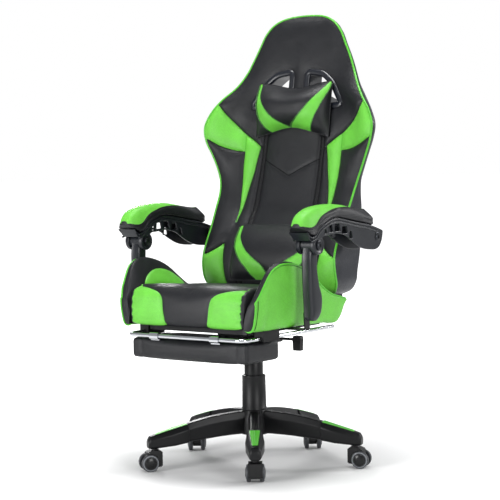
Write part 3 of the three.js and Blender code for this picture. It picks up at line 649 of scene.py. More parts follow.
def back_upholstery():
    outline = back_outline()
    holes = vent_loops(VENT_GROWTH)
    seams, regions = [], []
    for side in SIDES.values():
        flip = np.array([side, 1])
        panel, strip = (along(line, SEAM_SPACING) * flip for line in (PANEL_EDGE, STRIP_EDGE))
        wedge = along(WEDGE, SEAM_SPACING, smooth=False) * flip
        wing_top, wing_bottom, lower_top, lower_inner = (
            snapped(along(line, SEAM_SPACING) * flip, outline)
            for line in (WING_TOP, WING_BOTTOM, LOWER_WING_TOP, LOWER_WING_INNER))
        wedge_side = along([WEDGE[-1], WEDGE[0]], SEAM_SPACING, smooth=False) * flip
        beyond = np.array([40 * side, 0])
        seams += [panel, strip, wedge, wing_top, wing_bottom, wedge_side, lower_top, lower_inner]
        regions += [
            (1, wedge),
            (1, np.vstack([wing_top, wing_top[-1:] + beyond, wing_bottom[-1:] + beyond, wing_bottom[::-1]])),
            (1, np.vstack([lower_top[:1] + beyond, lower_top, lower_inner[1:], [[240 * side, 470]]])),
            # Colour 2: the recessed strip beside the centre panel, in the painted groove shade.
            (2, np.vstack([panel, strip[::-1]])),
        ]
    chevron = along(CHEVRON, SEAM_SPACING, smooth=False)
    flat, triangles = triangles_in(outline, holes, [*seams, chevron], 6.5)
    centres = flat[triangles].mean(axis=1)
    paint = np.zeros(len(triangles), int)
    for colour, region in regions:
        paint[inside(centres, region)] = colour

    x, z = flat.T
    edge_gap = distance_to(flat, outline, True)
    hole_gap = np.min([distance_to(flat, hole, True) for hole in holes], axis=0)
    seam_gap = np.min([distance_to(flat, seam) for seam in seams], axis=0)
    gap = np.minimum(np.minimum(edge_gap, hole_gap), seam_gap)
    puff = CUSHION_PUFF * (1 - np.exp(-gap / CUSHION_REACH))
    puff += 2.2 * (1 - np.exp(-distance_to(flat, chevron) / 4))
    groove = 3.4 * np.exp(-(seam_gap / 2.2) ** 2) * (edge_gap > 4)
    ripple = [0.9 * noise.noise(Vector((px / 60, pz / 60, 3))) for px, pz in flat]
    y = front_y(x, z) - puff + groove + np.array(ripple) * np.clip(gap / 12, 0, 1)
    front = np.c_[x, y, z]

    rim_y = front_y(*outline.T)
    rings = [np.c_[outline[:, 0], rim_y, outline[:, 1]]]
    inner_z = shell_z(outline[:, 1])
    lip = rear_y(*outline.T)
    for share in (0.15, 0.35, 0.55, 0.75, 0.92, 1.0):
        bulge = 1 + 0.012 * math.sin(math.pi * share)
        rings.append(np.c_[outline[:, 0] * bulge, rim_y + (lip - rim_y) * share, outline[:, 1]])
    for scale in (0.985, 0.95, 0.9, 0.82, 0.74, 0.66, SHELL_SHARE + 0.003):
        sunk = (1 - scale) / (1 - SHELL_SHARE)
        ring = np.c_[outline[:, 0] * scale, outline[:, 1] + (inner_z - outline[:, 1]) * sunk]
        rings.append(np.c_[ring[:, 0], rear_y(*ring.T), ring[:, 1]])
    last = rings[-1].copy()
    last[:, 1] = shell_front_y(last[:, 2], CUSHION_GAP)
    rings.append(last)
    wall = skin(rings, caps=False)

    tunnels = []
    for hole in holes:
        near = np.c_[hole[:, 0], front_y(*hole.T), hole[:, 1]]
        far = np.c_[hole[:, 0], shell_front_y(hole[:, 1], CUSHION_GAP), hole[:, 1]]
        tunnels.append(skin([near, far], caps=False))
    rear_flat, rear_triangles = triangles_in(last[:, [0, 2]], holes)
    rear = np.c_[rear_flat[:, 0], shell_front_y(rear_flat[:, 1], CUSHION_GAP), rear_flat[:, 1]]

    # Welding joins the rim of the front to the wall and the tunnels.
    points, faces = joined([(front, triangles), wall, *tunnels, (rear, rear_triangles)])
    index = [*paint, *[3] * len(wall[1]), *[0] * (len(faces) - len(paint) - len(wall[1]))]
    piece = make("back_upholstery", points, faces, [BLACK_LEATHER, GREEN_LEATHER, GROOVE_SHADE_STRIP, SIDE_LEATHER],
                 index, sharp=50, weld=True)
    place(piece, "back", "mixed_leather", "back_cushion")

    welt_line = np.c_[outline[:, 0] * 1.006, rim_y - 1.5, outline[:, 1]]
    place(make("back_piping", *piping(welt_line, 3.4, closed=True), GREEN_PIPING), "back", "green_leather")

    # A near-black tube along the chevron fold: painted shade in the fold.
    fold = front[[int(np.argmin(np.linalg.norm(flat - p, axis=1))) for p in chevron]]
    place(make("back_fold_shade", *swept(fold - [0, 0.2, 0], 1.1, 8), BLACK_CREASE_SHADE), "back", "black_leather")

    lift = CUSHION_PUFF * (1 - math.exp(-STITCH_SHIFT / CUSHION_REACH))
    lift = lift - 2.6 * math.exp(-(STITCH_SHIFT / 2.8) ** 2) + 0.5
    threads, green_threads = [], []
    for seam in seams:
        for shift in (-STITCH_SHIFT, STITCH_SHIFT):
            ahead = np.gradient(seam, axis=0)
            ahead /= np.maximum(np.linalg.norm(ahead, axis=1), 1e-9)[:, None]
            row = seam + shift * np.c_[ahead[:, 1], -ahead[:, 0]]
            row = row[inside(row, outset(outline, -6))]
            if len(row) < 3:
                continue
            line = np.c_[row[:, 0], front_y(*row.T) - lift, row[:, 1]]
            middle = row[len(row) // 2:][:1]
            on_green = any(colour == 1 and inside(middle, region)[0] for colour, region in regions)
            (green_threads if on_green else threads).append(stitches(line))
    place(make("back_stitching", *joined(threads), THREAD), "back", "black_leather")
    place(make("back_green_stitching", *joined(green_threads), GREEN_THREAD), "back", "green_leather")


def back_shell():
    outline = back_outline(8.0)
    outline = np.c_[outline[:, 0] * SHELL_SHARE, shell_z(outline[:, 1])]
    trimmed = outset(outline, -SHELL_TRIM)
    holes = vent_loops(VENT_GROWTH, 5)
    seams = [[[x, 530], [x * 1.05, 700], [x * 1.05, 860], [x, 1010]] for x in (-78, 78)]
    seams += [[[-78, 1010], [0, 1002], [78, 1010]], [[-78, 530], [0, 524], [78, 530]]]
    seams = [along(seam, 7) for seam in seams]
    flat, triangles = triangles_in(trimmed, holes, seams, 9)
    rim_gap = distance_to(flat, outline, True)
    seam_gap = np.min([distance_to(flat, seam) for seam in seams], axis=0)
    gap = np.minimum(rim_gap, seam_gap)
    y = rear_y(*flat.T) + shell_swell(gap) - 1.8 * np.exp(-(seam_gap / 3) ** 2)
    outer = (np.c_[flat[:, 0], y - 0.5, flat[:, 1]], triangles)
    rings = [np.c_[trimmed[:, 0], rear_y(*trimmed.T) + shell_swell(SHELL_TRIM) - 0.5, trimmed[:, 1]]]
    for shrink, back in ((1.2, 0.6), (0, 2.4), (0, 7)):
        loop = outset(outline, -shrink)
        rings.append(np.c_[loop[:, 0], rear_y(*trimmed.T) - back, loop[:, 1]])
    rings.append(np.c_[outline[:, 0], shell_front_y(outline[:, 1]), outline[:, 1]])
    inner_flat, inner_triangles = triangles_in(outline, holes)
    inner = np.c_[inner_flat[:, 0], shell_front_y(inner_flat[:, 1]), inner_flat[:, 1]]
    tunnels = []
    for hole in holes:
        seam_gap = np.min([distance_to(hole, seam) for seam in seams], axis=0)
        gap = np.minimum(distance_to(hole, outline, True), seam_gap)
        swell = shell_swell(gap) - 0.5
        tunnels.append(skin([np.c_[hole[:, 0], rear_y(*hole.T) + swell, hole[:, 1]],
                             np.c_[hole[:, 0], shell_front_y(hole[:, 1]), hole[:, 1]]], caps=False))
    points, faces = joined([outer, skin(rings, caps=False), *tunnels, (inner, inner_triangles)])
    piece = make("back_shell_cover", points, faces, BLACK_LEATHER, weld=True)
    place(piece, "back", "shell_board", "back_shell")
    threads = []
    for seam in seams:
        for shift in (-4, 4):
            upright = abs(seam[0, 1] - seam[-1, 1]) > 50
            row = seam + ([shift, 0] if upright else [0, shift])
            threads.append(stitches(np.c_[row[:, 0], rear_y(*row.T) + 0.5, row[:, 1]]))
    place(make("back_shell_stitching", *joined(threads), THREAD), "back", "black_leather")


# [growth of the vent's outline, height over the surface] of the bezel's rings
BEZEL_FRONT = [(9.5, -1), (10.5, 2.5), (9, 5.5), (5.5, 7.4), (1, 8), (-4, 7.2), (-7.5, 4.4), (-9, 0),
               (-8.6, -6)]
BEZEL_REAR = [(-8, -2), (-7.5, 1), (-5, 3.2), (-1, 4.6), (7, 4.8), (9.5, 3.6), (10.5, 0.5), (6, -1)]


def vent_bezel(name, side):
    """A moulded ring that lines the opening from in front of the cushion to behind the shell."""
    loop = along(rounded(VENT, 15), 3.0, closed=True, smooth=False) * [side, 1]

    def ring(grow, lift, face):
        at = outset(loop, grow)
        return np.c_[at[:, 0], face(*at.T) + lift, at[:, 1]]

    rings = [ring(grow, -lift, front_y) for grow, lift in BEZEL_FRONT]
    rings += [ring(grow, lift, rear_y) for grow, lift in BEZEL_REAR]
    rings.append(ring(6, 1.5, front_y))
    piece = make(f"vent_ring_{name}", *skin(rings, wrap=True), BEZEL_PLASTIC)
    place(piece, "back", "arm_plastic", f"vent_bezel_{name}")


# ---- Pillows ----
# [z, half width, front y, rear y]
HEAD_PILLOW = [[948, 106, 196, 222], [958, 124, 182, 224], [985, 130, 172, 229], [1030, 130, 168, 236],
               [1075, 128, 176, 244.5], [1100, 118, 196, 249.5], [1110, 100, 218, 249.5]]
LUMBAR_PILLOW = [[524, 128, 62, 74], [532, 148, 52, 77], [560, 156, 46, 79], [600, 156, 52, 90],
                 [640, 154, 70, 108], [672, 146, 94, 124], [690, 132, 115, 134]]
LUMBAR_CENTRE, LUMBAR_HALF = 14, 146
V_CENTRE = 27      # of the two green bands across the lumbar pillow
BAND_COLOURS = [0, 1, 0, 1, 0]


def pillow(name, table, half, bottom, top, bands, node, arch):
    """A stuffed pillow. arch(u) gives how far the bottom and top edges bow at u = x / half width."""
    rows_up, counts = 34, bands["counts"]
    shape = through(table)
    low_key, high_key = table[0][0], table[-1][0]
    levels = np.linspace(0, 1, rows_up)
    levels = 0.5 - 0.5 * np.cos(math.pi * levels) * (1 - 0.25 * np.sin(math.pi * levels) ** 2)
    xs = []
    for v in levels:
        xs.append(spread_out(bands["stops"](v), counts))
    x = np.array(xs)
    u = (x - bands["centre"]) / half
    bottom_bow, top_bow = arch(u)
    z = (bottom + bottom_bow) + ((top + top_bow) - (bottom + bottom_bow)) * levels[:, None]
    key = low_key + (high_key - low_key) * levels
    middle = shape(key)
    front, rear = middle[:, 1], middle[:, 2]
    upward = np.clip(1 - np.abs(2 * levels - 1) ** bands["fullness"], 0, 1)[:, None] ** 0.6
    crown = np.clip(1 - np.abs(u) ** 3.2, 0, 1) ** 0.55 * upward
    seat_y = rear[:, None] + (front_y(x, z) - front_y(0 * x, z) - 6)
    face_y = seat_y - 3 - (seat_y - front[:, None] - 3) * crown
    lines = np.cumsum([0, *counts])
    side_gap = np.min([np.abs(x - x[:, [k]]) for k in lines], axis=0)
    face_y -= 2.5 * (1 - np.exp(-side_gap / 14)) * crown
    rows, columns = x.shape
    front_points = np.stack([x, face_y, z], axis=-1).reshape(-1, 3)
    rear_points = np.stack([x, seat_y, z], axis=-1).reshape(-1, 3)
    cells = [(r * columns + c, r * columns + c + 1, (r + 1) * columns + c + 1, (r + 1) * columns + c)
             for r in range(rows - 1) for c in range(columns - 1)]
    cell_paint = [BAND_COLOURS[int(np.searchsorted(lines, c, side="right")) - 1]
                  for r in range(rows - 1) for c in range(columns - 1)]
    shift = rows * columns
    rim = [*range(columns), *[r * columns + columns - 1 for r in range(1, rows)],
           *[(rows - 1) * columns + c for c in range(columns - 2, -1, -1)],
           *[r * columns for r in range(rows - 2, 0, -1)]]
    faces = cells + [tuple(shift + i for i in reversed(cell)) for cell in cells]
    faces += [(a, b, b + shift, a + shift) for a, b in zip(rim, rim[1:] + rim[:1])]
    index = cell_paint + [0] * (len(faces) - len(cells))
    points = np.vstack([front_points, rear_points])
    piece = make(name, points, faces, [BLACK_LEATHER, GREEN_LEATHER], index, sharp=70)
    pinned = set(rim) | {i + shift for i in range(shift)}
    for line in lines[1:-1]:
        pinned |= {r * columns + int(line) for r in range(rows)}
    inflate(piece, pinned, pressure=3.5, cap=7)
    finer(piece)
    place(piece, "back", "mixed_leather", node)
    seam_points = piece.data.vertices
    rim_line = np.array([list(seam_points[i].co) for i in rim]) / MM
    place(make(f"{name}_welt", *swept(along(rim_line, 3, True, smooth=False), 1.6, 8, True), BLACK_LEATHER),
          "back", "black_leather")
    threads = []
    for line in lines[1:-1]:
        for step in (-1, 1):
            ids = [r * columns + int(line) for r in range(2, rows - 2)]
            row = np.array([list(seam_points[i].co) for i in ids]) / MM + [step * 2.6, -1.1, 0]
            threads.append(stitches(row))
    place(make(f"{name}_stitching", *joined(threads), GREEN_THREAD), "back", "green_leather")


def add_pillows():
    def head_stops(v):
        z = 960 + v * 145
        outer = np.interp(z, [960, 977, 1000, 1030, 1060, 1085, 1105], [69, 80, 93, 108, 120, 127, 128])
        inner = np.interp(z, [960, 966, 986, 1016, 1046, 1075, 1105], [0.6, 5, 28, 57, 83, 107, 125])
        return [-130, -outer, -inner, inner, outer, 130]

    def head_arch(u):
        return 24 * np.exp(-(u / 0.62) ** 2) - 6 * np.abs(u) ** 6, 2 - 20 * np.exp(-(u / 0.6) ** 2)

    pillow("head_cushion", HEAD_PILLOW, 130, 950, 1108,
           {"counts": [5, 8, 20, 8, 5], "stops": head_stops, "fullness": 2.8, "centre": 0},
           "head_pillow", head_arch)

    def lumbar_stops(v):
        z = 522 + v * 168
        outer = np.interp(z, [522, 568, 577, 597, 618, 635, 651, 690], [56, 91, 102, 120, 138, 148, 152, 154])
        inner = np.interp(z, [522, 568, 580, 591, 612, 634, 656, 690], [0.6, 28, 45, 63, 94, 118, 138, 148])
        right = np.minimum([inner, outer], [116, 122])
        return [LUMBAR_CENTRE - LUMBAR_HALF, V_CENTRE - outer, V_CENTRE - inner, V_CENTRE + right[0],
                V_CENTRE + right[1], LUMBAR_CENTRE + LUMBAR_HALF]

    def lumbar_arch(u):
        return 5 * np.exp(-(u / 0.7) ** 2), -7 * np.abs(u) ** 4

    pillow("lumbar_cushion", LUMBAR_PILLOW, LUMBAR_HALF, 524, 690,
           {"counts": [7, 8, 20, 8, 7], "stops": lumbar_stops, "fullness": 3, "centre": LUMBAR_CENTRE},
           "lumbar_pillow", lumbar_arch)


# ---- Seat ----
SEAT_PROFILE = [[-298, 425], [-308, 426.5], [-315, 432], [-319, 455], [-318, 490], [-311, 517], [-298, 530],
                [-276, 536.5], [-200, 534], [-80, 525], [20, 515], [40, 506], [46, 492], [46, 425]]
SEAT_HALF, GREEN_OUTER = 198.4, 190
STRIPE_EDGE = [[428, 71], [445, 75], [470, 79], [495, 82], [508, 86], [518, 95], [525, 110], [530, 132],
               [533.5, 160], [535.5, 184]]     # [height, half width of the black middle of the front]
# [y, top, bottom, outer x at the top, outer x at the bottom] of a bolster
BOLSTER = [
    [-318, 452, 428, 206, 203], [-312, 490, 427, 228, 219], [-301, 516, 427, 239, 227],
    [-280, 553, 428, 246, 232], [-257, 586, 429, 251, 229], [-229, 603, 430, 256, 235],
    [-190, 607, 431, 260, 240], [-141, 598, 430, 259, 243], [-80, 572, 429, 257, 245],
    [-40, 545, 426, 256, 246], [0, 519, 424, 255, 246], [31, 504, 422, 255, 246],
    [80, 491, 422, 254, 244], [100, 485, 440, 253, 240], [113, 481, 466, 252, 238],
]
BOLSTER_INNER, GUSSET_Y = 199.4, -309
INSERT = [[-246, 520], [-237, 538], [-222, 553], [-190, 568], [-152, 572], [-105, 563], [-68, 545],
          [-39, 522], [-60, 512], [-140, 508], [-220, 510]]
KEY_STEPS = 5
bolster_at = through(BOLSTER)


def between_keys(ring, steps=KEY_STEPS):
    """A closed ring of key points with smooth points added between them."""
    ring = np.asarray(ring, float)
    count = len(ring)
    padded = np.vstack([ring[-1:], ring, ring[:2]])
    curve = through(np.c_[np.arange(-1, count + 2), padded])
    return curve(np.arange(count * steps) / steps)


def seat_cushion():
    profile = along(SEAT_PROFILE[:-1], 5.5)
    profile = np.vstack([profile, along(SEAT_PROFILE[-2:], 9, smooth=False)[1:],
                         along([SEAT_PROFILE[-1], SEAT_PROFILE[0]], 12, smooth=False)[1:-1]])
    ahead = np.roll(profile, -1, axis=0) - np.roll(profile, 1, axis=0)
    ahead /= np.linalg.norm(ahead, axis=1)[:, None]
    outward = np.c_[-ahead[:, 1], ahead[:, 0]]
    stripe = np.array(STRIPE_EDGE, float)
    counts = [3, 12, 34, 12, 3]
    lines = np.cumsum([0, *counts])
    rings, paint, pinned = [], [], []
    for k, ((y, z), normal) in enumerate(zip(profile, outward)):
        on_front = y < -272 and z > 426
        middle = np.interp(z, stripe[:, 0], stripe[:, 1]) if y < -272 else 186
        ruche = 2.6 * math.sin(z / 3.6) + 1.6 * math.sin(z / 1.9 + 1) if on_front else 0
        outer = max(GREEN_OUTER + ruche - 2, middle + 1.5)
        stops = [-SEAT_HALF, -max(GREEN_OUTER, middle + 1.5), -middle, middle, outer, SEAT_HALF]
        x = spread_out(stops, counts)
        gap = np.min([np.abs(x - stop) for stop in stops[1:-1]], axis=0)
        lift = 3.2 * (1 - np.exp(-gap / 16)) - 1.6 * np.exp(-(gap / 2.2) ** 2)
        if not on_front:
            lift = 2 * (1 - (x / SEAT_HALF) ** 2)
        else:
            wave = np.exp(-np.abs(np.abs(x) - GREEN_OUTER) / 15)
            lift = lift + 2.0 * wave * math.sin(z / 3.6 + 0.6)
        rim = 9 * np.clip((np.abs(x) - (SEAT_HALF - 9)) / 9, 0, 1) ** 2
        shift = (lift - rim - 2.5)[:, None] * normal[None, :]
        rings.append(np.c_[x, y + shift[:, 0], z + shift[:, 1]])
        below = z < 426 or (y > 40 and z < 500)
        paint.append([0, 1, 0, 1, 0] if on_front and not below else [0, 0, 0, 0, 0])
        start = k * len(x)
        if below or k < 3:
            pinned += range(start, start + len(x))
        pinned += [start + int(line) for line in lines]
        pinned += [start + i for i in range(len(x)) if abs(x[i]) > 184]
    rings = np.array(rings)
    points, faces, count = rings.reshape(-1, 3), [], rings.shape[1]
    index = []
    rows = len(rings)
    for r in range(rows):
        a, b = r * count, ((r + 1) % rows) * count
        for c in range(count - 1):
            faces.append((a + c, a + c + 1, b + c + 1, b + c))
            index.append(paint[r][int(np.searchsorted(lines, c, side="right")) - 1])
    faces.append(tuple(r * count for r in range(rows)))
    faces.append(tuple(r * count + count - 1 for r in range(rows)))
    index += [0, 0]
    piece = make("seat_upholstery", points, faces, [BLACK_LEATHER, GREEN_LEATHER], index, sharp=60)
    inflate(piece, sorted(set(pinned)), pressure=3.0, cap=6)
    place(piece, "seat", "black_leather", "seat_cushion")

    threads = []
    made = np.array([list(v.co) for v in piece.data.vertices]) / MM
    front_rows = [k for k, (y, z) in enumerate(profile) if y < -276 and z > 430]
    for line, shift in ((1, 2.4), (2, -2.6), (3, 2.6), (4, -2.4)):
        row = made[[k * count + int(lines[line]) for k in front_rows]]
        threads.append(stitches(row + [shift, -1.6, 0.6]))
    place(make("seat_stitching", *joined(threads), GREEN_THREAD), "seat", "green_leather")


def bolster_keys(row):
    y, top, bottom, outer_top, outer_bottom = row

    def at(t):
        return bottom + (top - bottom) * t
    middle = (outer_top + outer_bottom) / 2 + 3
    ridge = max(BOLSTER_INNER + 2, outer_top - 12)
    slope = BOLSTER_INNER + (ridge - BOLSTER_INNER) * 0.35
    drop = 8 if ridge > 212 else 0
    return [[BOLSTER_INNER + 0.3, bottom + 1], [outer_bottom - 2, bottom + 1], [middle, at(0.5)],
            [outer_top, at(0.86)], [outer_top - 2, at(0.96)], [ridge, top], [ridge - drop, at(0.96)],
            [slope, at(0.74)], [BOLSTER_INNER + 0.3, at(0.5)]]


def bolster(name, side):
    stations = np.r_[np.linspace(-318, -290, 10), np.linspace(-285, 95, 62), np.linspace(99, 113, 5)]
    rings, piped, crease = [], [], []
    for y in stations:
        ring = between_keys(bolster_keys([y, *bolster_at(y)]))
        ring[:, 0] = np.maximum(ring[:, 0], BOLSTER_INNER)
        if y > GUSSET_Y and not piped:
            piped = [[side * (u + 0.8), y - 0.8, w] for u, w in ring[:4 * KEY_STEPS]]
        if y > GUSSET_Y + 4 and piped and not crease:
            crease = [[side * (u + 0.3), y, w] for u, w in ring[KEY_STEPS:4 * KEY_STEPS - 1]]
        if piped:
            piped.append([side * (ring[4 * KEY_STEPS, 0] + 0.6), y, ring[4 * KEY_STEPS, 1] + 0.6])
        if crease:
            crease.append([side * (ring[4 * KEY_STEPS - 1, 0] + 0.3), y, ring[4 * KEY_STEPS - 1, 1]])
        rings.append(np.c_[side * ring[:, 0], np.full(len(ring), y), ring[:, 1]])
    points, faces = skin(rings)
    count = len(rings[0])
    index = [1 if (k % count) < 4 * KEY_STEPS and stations[k // count] > GUSSET_Y else 0
             for k in range(len(faces) - 2)] + [0, 0]
    piece = make(f"bolster_cover_{name}", points, faces, [BLACK_LEATHER, GREEN_LEATHER], index, sharp=60)
    pinned = []
    for r in range(len(rings)):
        fixed = range(count) if r in (0, 1, len(rings) - 1) else [
            *range(0, KEY_STEPS + 1), 4 * KEY_STEPS - 1, 4 * KEY_STEPS, *range(7 * KEY_STEPS + 2, count)]
        pinned += [r * count + i for i in fixed]
    inflate(piece, pinned, pressure=3.0, cap=5)
    place(piece, "seat", "green_leather", f"seat_bolster_{name}")
    route = along(piped[:-2], 4)
    place(make(f"bolster_piping_{name}", *piping(route, 3.2), GREEN_PIPING), "seat", "green_leather")
    # A thin dark green tube along the crease inside the piping: painted shade of the crease.
    fold = swept(along(crease[:-2], 4), 1.1, 8)
    place(make(f"bolster_crease_shade_{name}", *fold, CREASE_SHADE), "seat", "black_leather")

    outline = along(INSERT, 4, closed=True)
    flat, triangles = triangles_in(outline, spacing=7)
    rim = distance_to(flat, outline, True)
    x = []
    for (y, z), gap in zip(flat, rim):
        ring = between_keys(bolster_keys([y, *bolster_at(y)]))[5 * KEY_STEPS:]
        order = np.argsort(ring[:, 1])
        x.append(np.interp(z, ring[order, 1], ring[order, 0]) - 1.2 - 3.5 * (1 - math.exp(-gap / 14)))
    x = np.maximum(np.array(x), BOLSTER_INNER - 0.6)
    skin_points = np.c_[side * x, flat]
    back_points = np.c_[side * (x + 2.2 + 3 * (1 - np.exp(-rim / 14))), flat]
    rim_ids = [int(np.argmin(np.linalg.norm(flat - p, axis=1))) for p in outline]
    size = len(flat)
    faces = [tuple(t) for t in triangles] + [tuple(size + i for i in reversed(t)) for t in triangles]
    faces += [(a, b, b + size, a + size) for a, b in zip(rim_ids, rim_ids[1:] + rim_ids[:1])]
    points = np.vstack([skin_points, back_points])
    insert = make(f"bolster_insert_{name}", points, faces, GREEN_LEATHER, sharp=60)
    place(insert, "seat", "green_leather")


# ---- Armrests ----
ARM_CENTRE = 301.5
ARM_FRONT_AXIS, ARM_REAR_AXIS = (-146, 650), (152, 658)
BEAM_TOP = [[-201, 687], [-182, 675], [-165, 680], [-143, 697.5], [-103, 714.5], [-62, 721.5],
            [-21, 716.5], [42, 705.5], [112, 694.5], [150, 685], [170, 679], [182, 674]]
BEAM_BOTTOM = [[181, 662], [158, 627], [140, 622.5], [121, 623], [72, 630], [20, 652], [-11, 669], [-40, 676],
               [-63, 678.5], [-104, 675], [-122, 674], [-134, 668], [-152, 664.5], [-170, 666], [-184, 671],
               [-197, 681]]
BEAM_HALF, BEAM_WALL = 31.5, 5.5
SLOTS = [[-121, -107], [-101, -77], [-70, -40], [-33, -3], [4, 22]]
SLOT_FLOOR = through([[-121, 680], [-63, 685], [-18, 677], [13, 661]])
# [y, bottom, seam, top, half width] of the arm pad
ARM_PAD = [[-211, 699, 702, 712, 14], [-204, 693, 698, 725, 24], [-194, 686, 695, 737, 30],
           [-182, 679, 694, 745, 33.5], [-165, 682, 700, 752, 35], [-143, 699.5, 720, 756, 35],
           [-103, 715.5, 737, 759, 34], [-62, 722.5, 746, 760, 33], [-21, 717.5, 746, 757, 32],
           [42, 706.5, 737, 747, 30], [112, 695.5, 717, 738, 28], [131, 691.5, 714, 737, 27],
           [142, 694, 711, 731, 23]]
LEAF_SHRINKS, LEAF_ENDS = -60, 118      # where the green top of the pad starts to narrow and where it ends
# [z, front y, rear y, half width] of the post
POST = [[444, -154, -134, 13], [450, -160, -126, 16], [462, -162, -116, 18], [482, -163, -109, 18.5],
        [506, -165, -108, 18.5], [538, -167, -120, 18], [578, -168, -130, 17.5], [622, -168, -129, 17],
        [646, -164, -128, 16]]


def arm_beam(name, side):
    centre = np.array([side * ARM_CENTRE, 0, 0])
    outline = along([*BEAM_TOP, *BEAM_BOTTOM], 4, closed=True)
    holes = []
    for y0, y1 in SLOTS:
        low = float(SLOT_FLOOR((y0 + y1) / 2)[0])
        rise = 12 if y1 < -105 else 20
        corners = [[y0, low - 1], [y1, low], [y1 - 5, low + rise], [y0 + 3, low + rise]]
        holes.append(along(rounded(corners, 3), 1.6, closed=True, smooth=False))
    ceiling = [[y, z - 14] for y, z in reversed(BEAM_TOP[1:-2])]
    corners = [*BEAM_TOP, [181, 662], [164, 636], [156, 650], *ceiling, [-196, 678]]
    core = along(corners, 5, closed=True, smooth=False)
    plates = [(outline, -BEAM_HALF, -BEAM_HALF + BEAM_WALL, holes), (outset(core, -1.2), -28, 28, ()),
              (outline, BEAM_HALF - BEAM_WALL, BEAM_HALF, holes)]
    parts = []
    for shape, low, high, openings in plates:
        points, faces = slab(shape, low, high, 1.8, holes=openings)
        parts.append((points[:, [2, 0, 1]] + centre, faces))
    y, z = ARM_FRONT_AXIS
    disc = [[0, 17.8], [24, 17.8], [26, 19.5], [26, 28.5], [24.6, 30.6], [22, 31.6], [19, 31.2], [18, 30.2],
            [10.5, 30.2], [9.8, 31.4], [0, 31.4]]
    for end in (1, -1):
        parts.append(lathe([[r, end * w] for r, w in disc], 56, "x", centre + [0, y, z]))
    for depth, radius in ((4, 3.0), (12.5, 2.8)):
        ridge = along([[py, pz - depth] for py, pz in BEAM_TOP[1:-2]], 4)
        for end in (1, -1):
            line = np.c_[np.full(len(ridge), end * (BEAM_HALF - 0.2)), ridge] + centre
            parts.append(swept(line, radius, 8))
    place(make(f"arm_frame_{name}", *joined(parts), ARM_PLASTIC, sharp=48),
          f"arm_{name}", "arm_plastic", f"arm_beam_{name}")

    screws = []
    for (y, z), ends in ((ARM_FRONT_AXIS, (1, -1)), (ARM_REAR_AXIS, (side,))):
        head = [[9.5, 31.3], [9.5, 33.2], [8.4, 34.2], [4.4, 34.2], [4.2, 32.6], [0, 32.6]]
        collar = [[13, 31.3], [13, 32.4], [12, 32.9], [10, 32.9], [10, 31.3]]
        for end in ends:
            screws.append(lathe([[r, end * w] for r, w in head], 32, "x", centre + [0, y, z]))
            screws.append(lathe([[r, end * w] for r, w in collar], 40, "x", centre + [0, y, z]))
    place(make(f"arm_screws_{name}", *joined(screws), SCREW_STEEL),
          f"arm_{name}", "black_steel", f"arm_pivot_pin_{name}", f"arm_screw_{name}")


def arm_pad(name, side):
    pad_at = through(ARM_PAD)
    stations = np.r_[np.linspace(-211, -197, 9), np.linspace(-193, 130, 62), np.linspace(133, 142, 5)]
    rings, seam_lines = [], [[], []]
    right_seam, left_seam = 4 * KEY_STEPS, 7 * KEY_STEPS
    for y in stations:
        bottom, seam, top, half = pad_at(y)
        taper = np.clip((y - LEAF_SHRINKS) / (LEAF_ENDS - LEAF_SHRINKS), 0, 1) ** 1.6
        shoulder_x, shoulder_z = half - 1, seam + (top - seam) * 0.12 * taper
        leaf_x = shoulder_x * (1 - 0.9 * taper) - 0.8
        leaf_z = top - 0.5 - (top - seam) * (leaf_x / half) ** 2.2
        crest_x = 0.55 * leaf_x
        crest_z = top - 0.5 - (top - seam) * 0.7 * (crest_x / half) ** 2.2
        right = [[half - 3, bottom + 0.6], [half, (bottom + seam) / 2], [shoulder_x, shoulder_z],
                 [leaf_x, leaf_z], [crest_x, crest_z]]
        ring = between_keys([[-half + 3, bottom + 0.6], *right, *[[-u, w] for u, w in reversed(right[1:])]])
        for line, k in zip(seam_lines, (right_seam, left_seam)):
            line.append([side * ARM_CENTRE + ring[k, 0], y, ring[k, 1]])
        rings.append(np.c_[ring[:, 0] + side * ARM_CENTRE, np.full(len(ring), y), ring[:, 1]])
    points, faces = skin(rings)
    count = len(rings[0])
    index = [1 if right_seam <= (k % count) < left_seam and stations[k // count] < LEAF_ENDS else 0
             for k in range(len(faces) - 2)] + [0, 0]
    piece = make(f"arm_cushion_{name}", points, faces, [BLACK_LEATHER, GREEN_LEATHER], index, sharp=60)
    pinned = []
    for r in range(len(rings)):
        fixed = range(count) if r in (0, len(rings) - 1) else (*range(KEY_STEPS + 1), right_seam, left_seam)
        pinned += [r * count + i for i in fixed]
    inflate(piece, pinned, pressure=3.0, cap=3)
    place(piece, f"arm_{name}", "green_leather", f"arm_pad_{name}")
    threads = []
    leaf = [k for k, y in enumerate(stations) if -208 < y < LEAF_ENDS]
    for line, out in zip(seam_lines, (1, -1)):
        line = np.array(line)[leaf]
        threads.append(stitches(line + [out * 1.4, 0, -3.4]))
        threads.append(swept(line + [out * 0.3, 0, 0.2], 1.1, 6))
    place(make(f"arm_stitching_{name}", *joined(threads), BLACK_LEATHER), f"arm_{name}", "black_leather")


